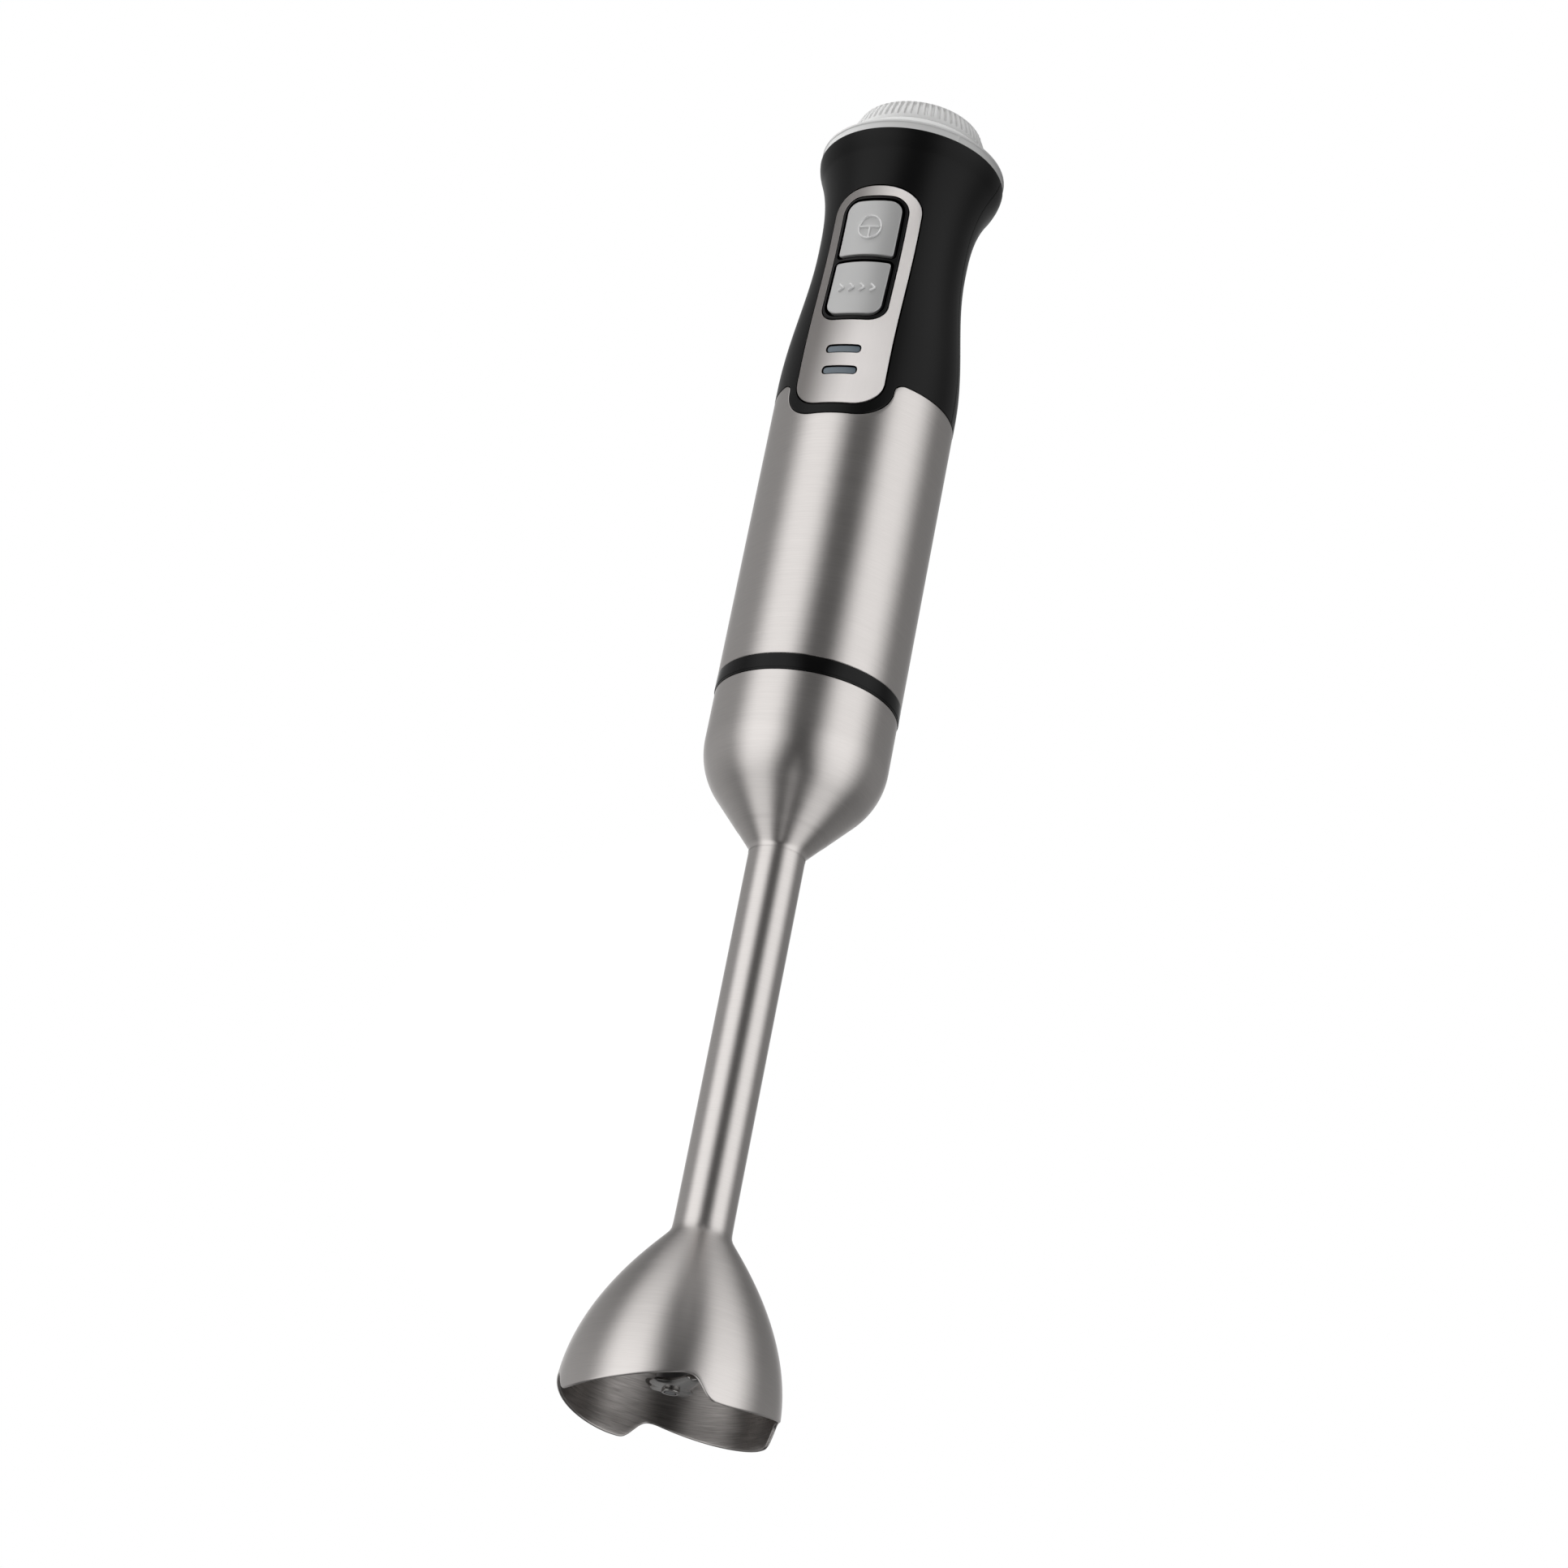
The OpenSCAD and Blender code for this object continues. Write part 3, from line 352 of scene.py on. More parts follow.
class Nodes:
    """A node tree, with one method that adds any node."""

    def __init__(self, tree):
        self.tree = tree

    def add(self, kind, settings=(), out=0, **sockets):
        """A new node's output. Sockets go by name, with _ for a space, or by number, as in _0."""
        node = self.tree.nodes.new(kind)
        for name, setting in dict(settings).items():
            setattr(node, name, setting)
        for name, source in sockets.items():
            key = int(name[1:]) if name[0] == "_" else name.replace("_", " ")
            join(self.tree, source, node.inputs[key])
        return Value(self.tree, node.outputs[out]) if node.outputs else None

    def place(self, scale=(1, 1, 1)):
        """Object coordinates times a scale for each axis."""
        return self.vector("MULTIPLY", self.add("ShaderNodeTexCoord", out="Object"), scale, "Vector")

    def noise(self, scale, detail=2.0, roughness=0.5, stretch=(1, 1, 1)):
        """Noise about 0.5, with 1/scale metres to a feature."""
        return self.add("ShaderNodeTexNoise", Vector=self.place(stretch), Scale=scale, Detail=detail,
                        Roughness=roughness)

    def between(self, amount, first, second):
        """The first colour where the amount is 0 and the second where it is 1."""
        return self.add("ShaderNodeMix", {"data_type": "RGBA"}, out=2, _0=amount, _6=first, _7=second)

    def varied(self, amount, colour, contrast):
        """A colour, darker by the contrast where the amount is 0 and lighter by it where it is 1."""
        return self.between(amount, shade(colour, 1 - contrast), shade(colour, 1 + contrast))

    def smooth(self, value, start, stop):
        """A smooth step of a value, from 0 at the start to 1 at the stop."""
        return self.add("ShaderNodeMapRange", {"interpolation_type": "SMOOTHSTEP"}, Value=value,
                        From_Min=start, From_Max=stop)

    def vector(self, operation, first, second=(0, 0, 0), out="Value"):
        """The result of a Vector Math node."""
        return self.add("ShaderNodeVectorMath", {"operation": operation}, out, _0=first, _1=second)


def shade(colour, factor):
    """A colour times a factor, at most 1 in each channel, with full alpha."""
    return tuple(min(1.0, c * factor) for c in colour) + (1.0,)


# ---------- finishes ----------

FINISHES = {}
STEEL = (0.686, 0.655, 0.637)
# Painted shade: a dark colour laid over steel inside the bell, tube and cup, and on the panel's left side
PAINTED_SHADE_COLOUR = (0.05, 0.042, 0.037, 1)


def finish(name, **constants):
    """The nodes and inputs of a new material, with the sockets that stay the same all over."""
    material = bpy.data.materials.new(name)
    material.use_nodes = True
    inputs = material.node_tree.nodes["Principled BSDF"].inputs
    for socket, constant in constants.items():
        inputs[socket.replace("_", " ")].default_value = constant
    FINISHES[name] = material
    return Nodes(material.node_tree), inputs


def dress(nodes, inputs, tone, roughness, **bump):
    """Gives the shader its varying colour and roughness, and a bump's normal."""
    join(nodes.tree, tone, inputs["Base Color"])
    join(nodes.tree, roughness, inputs["Roughness"])
    join(nodes.tree, nodes.add("ShaderNodeBump", **bump), inputs["Normal"])


def brushed(name, colour, roughness, painted_shade, level=130.0, upright=4200.0, contrast=0.14, anisotropy=0.8,
            turn=0.25, relief=None, metallic=1.0):
    """Brushed steel: noise drawn out along the brush's strokes and fine across them.

    Features per metre are given level and upright; the shine is turned by a quarter where strokes run level.
    The fourth argument gives the share of painted shade over the steel, and the relief a height in metres
    under the strokes.
    """
    nodes, inputs = finish(name, Metallic=metallic, Anisotropic=anisotropy, Anisotropic_Rotation=turn)
    hair = nodes.noise(1.0, 3.0, 0.6, (level, level, upright))
    streak = nodes.noise(0.4, 3.0, 0.6, (level * 0.5, level * 0.5, upright))
    cloud = nodes.noise(90.0, 3.0, 0.55, (1, 1, 1.6))
    steel = nodes.varied(hair * 0.6 + streak * 0.3 + cloud * 0.1, colour, contrast)
    height = (hair + streak) * 0.0000035 + cloud * 0.00004
    if relief:
        height = height + relief(nodes)
    # Painted shade: the steel is mixed towards the dark colour by the painted shade's share
    dress(nodes, inputs, nodes.between(painted_shade(nodes), steel, PAINTED_SHADE_COLOUR),
          roughness - 0.08 + hair * 0.08 + cloud * 0.08, Distance=1.0, Height=height)


def inner_painted_shade(nodes):
    """A share of painted shade where the surface faces the Z axis: 0.05 plus 0.7 of a scratch noise; none
    elsewhere.
    """
    facing = nodes.add("ShaderNodeNewGeometry", out="Normal")
    outward = nodes.vector("DOT_PRODUCT", nodes.place((1, 1, 0)), facing)
    scratches = nodes.noise(1.0, 2.0, 0.6, (140, 140, 2400))
    return outward.maths("LESS_THAN", outward, 0.0) * (0.05 + scratches * 0.7)


def left_painted_shade(nodes):
    """Painted shade: three quarters at the panel's left edge, falling smoothly to 0 right of its middle,
    along a lean.
    """
    lean, start, stop = 0.066, -33 * MM, -17 * MM
    across = nodes.vector("DOT_PRODUCT", nodes.place(), (1, 0, -lean))
    return (1 - nodes.smooth(across, start, stop)) * 0.75


def flat_right(nodes):
    """The height that makes up for the panel's curve right of its middle: width squared over the diameter."""
    x = nodes.add("ShaderNodeSeparateXYZ", out="X", _0=nodes.place())
    right = x.maths("MAXIMUM", x, 0.0)
    return right * right / (2 * BARREL_R)


def satin_metal(name, colour, roughness, grain=1800.0, contrast=0.08):
    """Metal with an even fine grain and faint clouds in its gloss."""
    nodes, inputs = finish(name, Metallic=1.0)
    fine = nodes.noise(grain, 2.0)
    cloud = nodes.noise(60.0, 3.0)
    dress(nodes, inputs, nodes.varied(fine * 0.5 + cloud * 0.5, colour, contrast),
          roughness - 0.05 + cloud * 0.1, Strength=0.15, Distance=0.00001, Height=fine)


def moulded(name, colour, roughness, grain=2400.0, depth=0.00001, strength=0.2, contrast=0.06, coat=0.0,
            shine=0.5, metallic=0.0):
    """Moulded plastic or rubber: a spark-eroded grain, a little uneven in colour and gloss."""
    nodes, inputs = finish(name, Coat_Weight=coat, Coat_Roughness=0.12, Specular_IOR_Level=shine,
                           Metallic=metallic)
    fine = nodes.noise(grain, 3.0, 0.6)
    cloud = nodes.noise(45.0, 3.0)
    dress(nodes, inputs, nodes.varied(fine * 0.4 + cloud * 0.6, colour, contrast),
          roughness - 0.06 + fine * 0.06 + cloud * 0.06, Strength=strength, Distance=depth, Height=fine)


def wound_wire(name, colour):
    """Enamelled wire: waves across the height, one to each turn of wire."""
    pitch = 0.5 * MM
    nodes, inputs = finish(name, Metallic=0.9, Coat_Weight=0.4)
    turns = nodes.add("ShaderNodeTexWave", {"bands_direction": "Z"}, out="Fac", Vector=nodes.place(),
                      Scale=0.314 / pitch, Distortion=0.6, Detail=1.0)
    cloud = nodes.noise(120.0)
    tone = nodes.between(turns * 0.7 + cloud * 0.3, shade(colour, 0.55), shade(colour, 1.1))
    dress(nodes, inputs, tone, 0.3 + cloud * 0.15, Strength=0.5, Distance=0.0001, Height=turns)


# brushed_steel carries painted shade on its sides that face the axis, inside the bell, tube, cup and barrel
brushed("brushed_steel", STEEL, 0.34, inner_painted_shade)
# panel_steel carries painted shade on the panel's left side
brushed("panel_steel", (0.95, 0.91, 0.89), 0.42, left_painted_shade, 4200.0, 130.0, 0.05, 0.85, 0.0, relief=flat_right,
        metallic=0.8)
satin_metal("blade_steel", (0.4, 0.39, 0.38), 0.24)
satin_metal("dark_steel", (0.34, 0.34, 0.35), 0.38, 900.0, 0.15)
moulded("soft_black", (0.005, 0.005, 0.0052), 0.36, shine=0.2)
moulded("shell_black", (0.003, 0.003, 0.0031), 0.32, 2600.0, 0.000012, 0.12, 0.12, shine=0.18)
moulded("inner_black", (0.02, 0.02, 0.021), 0.5, 1500.0)
moulded("gloss_black", (0.003, 0.003, 0.0031), 0.14, 1200.0, 0.000004, 0.1, 0.1, shine=0.2)
moulded("pale_grey", (0.7, 0.7, 0.695), 0.36, 2200.0, 0.000008, 0.12, 0.02)
moulded("button_silver", (0.5, 0.5, 0.497), 0.34, 2600.0, 0.000008, 0.12, 0.02, 0.3, metallic=0.3)
# Painted highlight: a lighter copy of the button's finish for the raised marks, standing for the light on
# their edges
moulded("button_mark_painted_highlight", (0.85, 0.85, 0.847), 0.24, 2600.0, 0.000008, 0.12, 0.02, 0.6, metallic=0.2)
moulded("slate_lens", (0.10, 0.135, 0.165), 0.18, 900.0, 0.000004, 0.1, 0.08, 0.6)
wound_wire("copper", (0.70, 0.33, 0.17))
satin_metal("brass", (0.72, 0.55, 0.25), 0.3)
satin_metal("bronze", (0.45, 0.31, 0.16), 0.5, 2600.0, 0.2)
moulded("carbon", (0.03, 0.03, 0.032), 0.6, 1800.0, 0.00003, 0.4)
moulded("board_green", (0.02, 0.11, 0.05), 0.35, 500.0, 0.00002, 0.3, 0.2)
moulded("component", (0.45, 0.33, 0.05), 0.3, 900.0)

for subpart in frame["record"]["subparts"]:
    for holder in frame["nodes"][subpart["node"]].material_slots:
        holder.material = FINISHES[subpart["material_slot"]]


# ---------- leg ----------

def dome_r(z):
    """Tube radius plus the bell's width times 1 minus gain times a power of the share of height."""
    rise = np.maximum(0, z - BELL_STRAIGHT_H) / (BELL_H - BELL_STRAIGHT_H)
    return TUBE_R + (BELL_R - TUBE_R) * (1 - DOME_GAIN * rise ** DOME_POWER)


def dome_out(z):
    """The dome blended into the tube: half the sum of the width and the root of its square plus a blend."""
    width = dome_r(z) - TUBE_R
    return TUBE_R + (width + np.sqrt(width ** 2 + DOME_BLEND ** 2)) / 2


def dome_in(z):
    """The outer radius less the wall's thickness measured level."""
    step = 1e-5
    slope = (dome_out(z + step) - dome_out(z - step)) / (2 * step)
    return np.maximum(TUBE_R - TUBE_WALL, dome_out(z) - BELL_WALL * np.sqrt(1 + slope ** 2))


def rim_height(azimuth):
    """Each lobe rises as a power of the angle, stays level a little and falls as half a cosine wave."""
    b = (azimuth - LOBE_PHASE) % (360 / LOBES)
    rise = LOBE_H * np.clip((b - LOBE_FLAT) / (LOBE_RISE - LOBE_FLAT), 0, 1) ** LOBE_POWER
    fall = LOBE_H * (1 + np.cos(np.pi * np.clip((b - LOBE_FALL) / (LOBE_END - LOBE_FALL), 0, 1))) / 2
    return np.minimum(rise, fall)


def bell():
    """Closed rows down the outside, round the rim's edge in half a circle and up the inside.

    The rim's height is averaged over nearby azimuths, weighted by a bell curve, so crests and tips are round.
    """
    away = (HALF_DEGREES[:, None] - HALF_DEGREES + 180) % 360 - 180
    weight = np.exp(-(away / LOBE_SOFT) ** 2)
    rim = weight / weight.sum(1)[:, None] @ rim_height(HALF_DEGREES)
    edge = BELL_WALL / 2
    share = np.linspace(1, 0, 46)[:, None]
    outer_z = rim + edge + (COLLAR_TOP - rim - edge) * share
    turn = np.radians(np.linspace(15, 165, 7))[:, None]
    start_z = rim + edge
    middle_r = (dome_out(start_z) + dome_in(start_z)) / 2
    rows_r = [dome_out(outer_z), middle_r + edge * np.cos(turn), dome_in(outer_z[::-1])]
    rows_z = [outer_z, start_z - edge * np.sin(turn), outer_z[::-1]]
    skin = on_axis(np.vstack(rows_r), HALF_DEGREES, np.vstack(rows_z))
    piece("bell_skin", [grid(skin, wrap_rows=True)], "brushed_steel", "leg", ["bell_guard"])


def tube():
    """A straight tube that starts with the last of the bell's blend."""
    z = np.linspace(COLLAR_TOP, CONE_Z0, ROWS)
    outer = np.column_stack([dome_out(z), z])
    inner = np.column_stack([np.full_like(z, TUBE_R - TUBE_WALL), z])[::-1]
    piece("leg_tube", [turned(np.vstack([outer, inner]), 120)], "brushed_steel", "leg", ["shaft_tube"])


def cup_r(z, off):
    """Cone, then the shoulder's arc, then the straight cup, all moved inwards by an offset."""
    r = SHOULDER_R - off
    run = (CUP_R - SHOULDER_R * (1 - math.cos(CONE_ANGLE)) - TUBE_R) / math.tan(CONE_ANGLE)
    shoulder_z = CONE_Z0 + run + SHOULDER_R * math.sin(CONE_ANGLE)
    cone = TUBE_R + (z - CONE_Z0) * math.tan(CONE_ANGLE) - off / math.cos(CONE_ANGLE)
    bend = CUP_R - SHOULDER_R + np.sqrt(np.maximum(0, r ** 2 - (shoulder_z - z) ** 2))
    shape = np.where(z >= shoulder_z - r * math.sin(CONE_ANGLE), bend, cone)
    return np.where(z >= shoulder_z, CUP_R - off, shape)


def cone():
    """Sheet from the tube out to the cup, with a small weld fillet below and a half-round lip on top."""
    edge, fillet, blend, sink = 0.15 * MM, 1.2 * MM, 0.5 * MM, 0.1 * MM
    top = BAND_Z0 - 0.08 * MM
    z = np.linspace(CONE_Z0 - fillet, top - edge, 90)
    width = cup_r(z, 0) - TUBE_R
    blended = TUBE_R + (width + np.sqrt(width ** 2 + blend ** 2)) / 2 - sink * smoothstep(width / MM + 1)
    outer_r = np.where(z > CONE_Z0 + 6 * MM, cup_r(z, 0), blended)
    inner_z = np.linspace(top, CONE_Z0 + 1 * MM, ROWS)
    lip = arc(CUP_R - edge, top - edge, edge, 15, 90, 5)
    inner = np.column_stack([cup_r(inner_z, CUP_WALL), inner_z])
    profile = np.vstack([np.column_stack([outer_r, z]), lip, inner])
    piece("coupling_skin", [turned(profile, 240)], "brushed_steel", "leg", ["coupling_cone"])


# ---------- barrel ----------

def band():
    """Glossy band with eased edges and a fine step above its lower edge."""
    inner, low_r = BAND_R - 3 * MM, BAND_R - 0.12 * MM
    step_z = BAND_Z0 + 0.7 * MM
    corners = [(inner, BAND_Z0), (low_r, BAND_Z0), (low_r, step_z), (BAND_R, step_z), (BAND_R, BARREL_Z0),
               (inner, BARREL_Z0)]
    profile = rounded_corners(corners, np.array([0.15, 0.03, 0.05, 0.2]) * MM)
    piece("band_ring", [turned(profile, 240)], "gloss_black", "motor_unit", ["coupling_band"])


def foot_opening():
    """Right half of the barrel's opening: foot, rounded corner, side and eased ear, in width and height."""
    half = PANEL_HALF_W + PANEL_MARGIN
    z0 = PANEL_Z0 - FOOT_MARGIN
    return np.vstack([[[0, z0]], arc(half - MARGIN_FOOT_R, z0 + MARGIN_FOOT_R, MARGIN_FOOT_R, -90, 0, 14),
                      arc(half + EAR_R, HANDLE_Z0 - EAR_R, EAR_R, 180, 90, 8)])


def barrel():
    """Columns run up to the opening's outline in front and to the level rim elsewhere, all on one cylinder.

    Each column leaves its even place at the bottom for its place on the outline by a smooth step in height.
    """
    half = even(foot_opening(), 0.5 * MM, closed=False)
    front = np.vstack([half[::-1] * (-1, 1), half[1:]])
    front_angle = np.degrees(np.arcsin(front[:, 0] / BARREL_R))
    reach = front_angle[-1]
    back_angle = np.linspace(reach, 360 - reach, 140)[1:-1]
    top_angle = np.concatenate([front_angle, back_angle])
    top_z = np.concatenate([front[:, 1], np.full(len(back_angle), HANDLE_Z0)])
    low_angle = np.concatenate([np.linspace(-reach, reach, len(front)), back_angle])
    outline = np.column_stack([np.unwrap(np.radians(top_angle)) * BARREL_R, top_z])
    once_round = (2 * np.pi * BARREL_R, 0)
    chain = np.vstack([outline[-1:] - once_round, outline, outline[:1] + once_round])
    down = -to_left(chain[2:] - chain[:-2])
    edge, lean_start, lean_span = 0.22 * MM, 0.35, 0.6
    share = np.linspace(0, 1, ROWS)[:, None]
    lean = smoothstep((share - lean_start) / lean_span)
    inset = outline + edge * down
    u = np.radians(low_angle) * BARREL_R * (1 - lean) + inset[:, 0] * lean
    z = BARREL_Z0 + edge + (inset[:, 1] - BARREL_Z0 - edge) * share
    rows = [np.stack([u, z, np.full_like(u, BARREL_R)], -1)]
    for turn in np.radians([22, 45, 68, 90]):
        ring = outline + edge * (1 - math.sin(turn)) * down
        depth = np.full(len(ring), BARREL_R - edge * (1 - math.cos(turn)))
        rows.append(np.column_stack([ring, depth])[None])
    rows.append(rows[0][::-6] * (1, 1, 0) + (0, 0, BARREL_R - BARREL_WALL))
    rows.append(rows[0][:1] * (1, 0, 0) + (0, BARREL_Z0, BARREL_R - edge))
    u, z, r = np.moveaxis(np.vstack(rows), -1, 0)
    skin = on_axis(r, np.degrees(u / BARREL_R), z)
    piece("barrel_skin", [grid(skin, wrap_rows=True)], "brushed_steel", "motor_unit", ["barrel_sleeve"])


# ---------- handle surface ----------

def handle_r(z):
    """Straight neck, half a cosine to the waist, a power curve to the lip and a quarter sine over it."""
    z = np.clip(z, NECK_Z, HEAD_Z0)
    fall = WAIST_R + (GRIP_R - WAIST_R) * (1 + np.cos(np.pi * (z - NECK_Z) / (WAIST_Z - NECK_Z))) / 2
    climb = np.maximum(0, z - WAIST_Z) / (LIP_Z - WAIST_Z)
    flare = WAIST_R + (LIP_R - WAIST_R) * climb ** FLARE_POWER
    lip = LIP_R + (HEAD_R - LIP_R) * np.sin(np.pi / 2 * (z - LIP_Z) / LIP_H)
    return np.where(z <= WAIST_Z, fall, np.where(z <= LIP_Z, flare, lip))


def handle_shift(z):
    """The sections are set forward by a share of how much they are narrowed."""
    z = np.clip(z, NECK_Z, LIP_Z)
    below = (GRIP_R - handle_r(z)) / (GRIP_R - WAIST_R)
    above = 1 - (handle_r(z) - WAIST_R) / (LIP_R - WAIST_R)
    return WAIST_SHIFT * np.where(z <= WAIST_Z, below, above)


def on_handle(u, z, lift):
    """Handle surface raised by lift: u is the azimuth in radians times the barrel's radius."""
    a = u / BARREL_R
    r = handle_r(z) + lift
    return np.stack([r * np.sin(a), -r * np.cos(a) - handle_shift(z), z], axis=-1)


def to_surface(curve):
    """A curve of width and height, moved to the handle's coordinates of arc and height."""
    u = BARREL_R * np.arcsin(curve[:, 0] / handle_r(curve[:, 1]))
    return np.column_stack([u, curve[:, 1]])


def rounded_box(x0, x1, z0, z1, r_low, r_top):
    """A rectangle with one corner radius below and one above."""
    low_z, top_z = z0 + r_low, z1 - r_top
    return np.vstack([arc(x1 - r_low, low_z, r_low, -90, 0), arc(x1 - r_top, top_z, r_top, 0, 90),
                      arc(x0 + r_top, top_z, r_top, 90, 180), arc(x0 + r_low, low_z, r_low, 180, 270)])


def inside(points, *loops):
    """Even-odd test of points against closed loops, an outline and its holes, for all edges at once."""
    x, z = points[:, :1], points[:, 1:]
    a, b = np.vstack(loops), np.vstack([np.roll(loop, -1, axis=0) for loop in loops])
    crosses = (a[:, 1] > z) != (b[:, 1] > z)
    rise = np.where(b[:, 1] == a[:, 1], 1, b[:, 1] - a[:, 1])
    cut = (b[:, 0] - a[:, 0]) * (z - a[:, 1]) / rise + a[:, 0]
    return (crosses & (x < cut)).sum(1) % 2 == 1


def nearest(points, loop):
    """Distance from each point to the closest point of a loop."""
    return np.sqrt(((points[:, None] - loop[None]) ** 2).sum(-1)).min(1)


def surface_frame(flat, lift, depth=0.0):
    """Points on the raised handle, its normals and the two directions along it, by central differences."""
    def at(u, z):
        return on_handle(u, z, lift(u, z) - depth)
    u, z = flat.T
    step = 0.02 * MM
    along_u, along_z = at(u + step, z) - at(u - step, z), at(u, z + step) - at(u, z - step)
    return at(u, z), unit(np.cross(along_u, along_z)), along_u, along_z


def plate(name, slot, body, replaces, outline, holes, lift, wall, edge, step=1.4 * MM, rim_step=0.6 * MM):
    """A plate that follows the handle, with a rounded rim along its outline and round each hole.

    The rim is a quarter circle and a straight wall, carried round each loop. The two faces share one
    triangulation of the loops and of a square lattice between them, at the lift and a wall's thickness below.
    Normals come from the handle's formula, turned towards the rim's side over the quarter circle.
    """
    loops = [even(loop, rim_step) for loop in (outline, *holes)]
    inner_way = np.vstack([inward(loops[0])] + [-inward(loop) for loop in loops[1:]])
    rim = np.vstack(loops)
    extent = np.ptp(loops[0], axis=0)
    share, climb = (np.linspace(0, 1, max(3, int(size / step))) for size in extent)
    lattice = np.stack(np.meshgrid(share, climb), -1).reshape(-1, 2) * extent + loops[0].min(0)
    lattice = lattice[inside(lattice, *loops) & (nearest(lattice, rim) > edge + 0.45 * rim_step)]
    top_rim = rim + edge * inner_way
    flat = np.vstack([top_rim, lattice])
    cuts = np.cumsum([len(loop) for loop in loops])[:-1]
    here = np.arange(len(rim))
    there = np.concatenate([np.roll(part, -1) for part in np.split(here, cuts)])
    sides = list(zip(here.tolist(), there.tolist()))
    triangles = np.array(delaunay_2d_cdt([Vector(point) for point in flat / MM], sides, [], 0, 1e-5)[2])
    triangles = triangles[inside(flat[triangles].mean(1), *np.split(top_rim, cuts))]
    points, normals = [], []
    for turn in np.radians([0, 18, 36, 54, 72, 90]):
        row = rim + edge * (1 - math.sin(turn)) * inner_way
        place, normal, along_u, along_z = surface_frame(row, lift, edge * (1 - math.cos(turn)))
        outer_way = unit(-inner_way[:, :1] * along_u - inner_way[:, 1:] * along_z)
        points.append(place)
        normals.append(math.cos(turn) * normal + math.sin(turn) * outer_way)
    wall_foot = surface_frame(rim, lift, wall)[0]
    rows, n = len(points), len(rim)
    under = surface_frame(flat, lift, wall)
    face = surface_frame(lattice, lift)
    points += [wall_foot, face[0], wall_foot, under[0][n:]]
    normals += [normals[-1], face[1], -under[1][:n], -under[1][n:]]
    top = np.concatenate([here, (rows + 1) * n + np.arange(len(lattice))])
    low_face = (rows + 1) * n + len(lattice) + np.arange(len(flat))
    quads = [np.column_stack([(k + 1) * n + here, (k + 1) * n + there, k * n + there, k * n + here])
             for k in range(rows)]
    faces = np.vstack(quads).tolist() + top[triangles].tolist() + low_face[triangles[:, ::-1]].tolist()
    shaped(name, np.vstack(points), faces, slot, body, replaces, unit(np.vstack(normals)))


def level(height):
    """A lift that is the same all over."""
    return lambda u, z: np.full_like(u, height)


def panel_outline(grow=0.0):
    """Counterclockwise: rounded foot corners, straight sides and a crown like a flattened half ellipse."""
    w = PANEL_HALF_W + grow
    foot_r = PANEL_FOOT_R + grow
    spring = PANEL_Z1 - PANEL_CROWN_H
    a = np.radians(np.linspace(0, 180, 60))
    crown = np.column_stack([w * np.sign(np.cos(a)) * np.abs(np.cos(a)) ** CROWN_POWER,
                             spring + (PANEL_CROWN_H + grow) * np.sin(a) ** CROWN_POWER])
    foot_z = PANEL_Z0 - grow + foot_r
    return bowed(even(np.vstack([arc(w - foot_r, foot_z, foot_r, -90, 0), crown,
                                 arc(-w + foot_r, foot_z, foot_r, 180, 270)]), 0.4 * MM))


def bowed(curve):
    """The curve with its foot bowed: raised by the square of the share of its half width, less further up."""
    x, z = curve.T
    half_w, foot = np.abs(x).max(), z.min()
    share = 1 - smoothstep((z - foot) / BOW_H)
    return np.column_stack([x, z + FOOT_BOW * share * (x / half_w) ** 2])


def node_box(node, r_low, r_top, grow):
    """The outline of a CAD node's front, as a rounded box."""
    x0, _, z0 = low(node) - grow
    x1, _, z1 = high(node) + grow
    return even(rounded_box(x0, x1, z0, z1, r_low + grow, r_top + grow), 0.4 * MM)


def turbo_box(grow=0.0):
    """The lower button's outline, rounder and bowed below."""
    return bowed(node_box("turbo_button", BUTTON_END_R, BUTTON_INNER_R, grow))


def power_box(grow=0.0):
    """The upper button's outline, rounder above."""
    return node_box("power_button", BUTTON_INNER_R, BUTTON_END_R, grow)


def surround_box(grow=0.0):
    """The outline of the frame round both buttons, bowed below as the panel is."""
    return bowed(node_box("button_surround", SURROUND_LOW_R, SURROUND_TOP_R, grow))


def front_shell():
    """Front half of the handle: down to the barrel's rim, and into its opening round the panel's foot."""
    reach = math.radians(SEAM_ANGLE) * BARREL_R - SEAM_HALF_GAP
    half = foot_opening() + (-SHELL_FIT, SHELL_FIT)
    side = np.column_stack([BARREL_R * np.arcsin(half[:, 0] / BARREL_R), half[:, 1]])
    z0 = HANDLE_Z0 + SHELL_GAP
    right = np.vstack([side, [[side[-1, 0] + 1 * MM, z0], [reach, z0], [reach, HEAD_Z0]]])
    outline = np.vstack([right, right[:0:-1] * (-1, 1)])
    holes = [to_surface(panel_outline(SHELL_FIT))]
    plate("handle_front", "shell_black", "motor_unit", ["handle_front_shell"], outline, holes, level(0.0),
          wall=SHELL_WALL, edge=SHELL_EDGE)


def rear_shell():
    """Back half of the handle, with a round hole for the cord's gland."""
    start = math.radians(SEAM_ANGLE) * BARREL_R + SEAM_HALF_GAP
    stop = 2 * math.pi * BARREL_R - start
    z0 = HANDLE_Z0 + SHELL_GAP
    outline = np.array([[start, z0], [stop, z0], [stop, HEAD_Z0], [start, HEAD_Z0]])
    gland_z = (low("cord_gland")[2] + high("cord_gland")[2]) / 2
    hole = to_surface(arc(0, gland_z, GLAND_R + SHELL_FIT, 0, 355, 72)) + (math.pi * BARREL_R, 0)
    plate("handle_rear", "shell_black", "motor_unit", ["handle_rear_shell"], outline, [hole], level(0.0),
          wall=SHELL_WALL, edge=SHELL_EDGE)


# ---------- panel and controls ----------

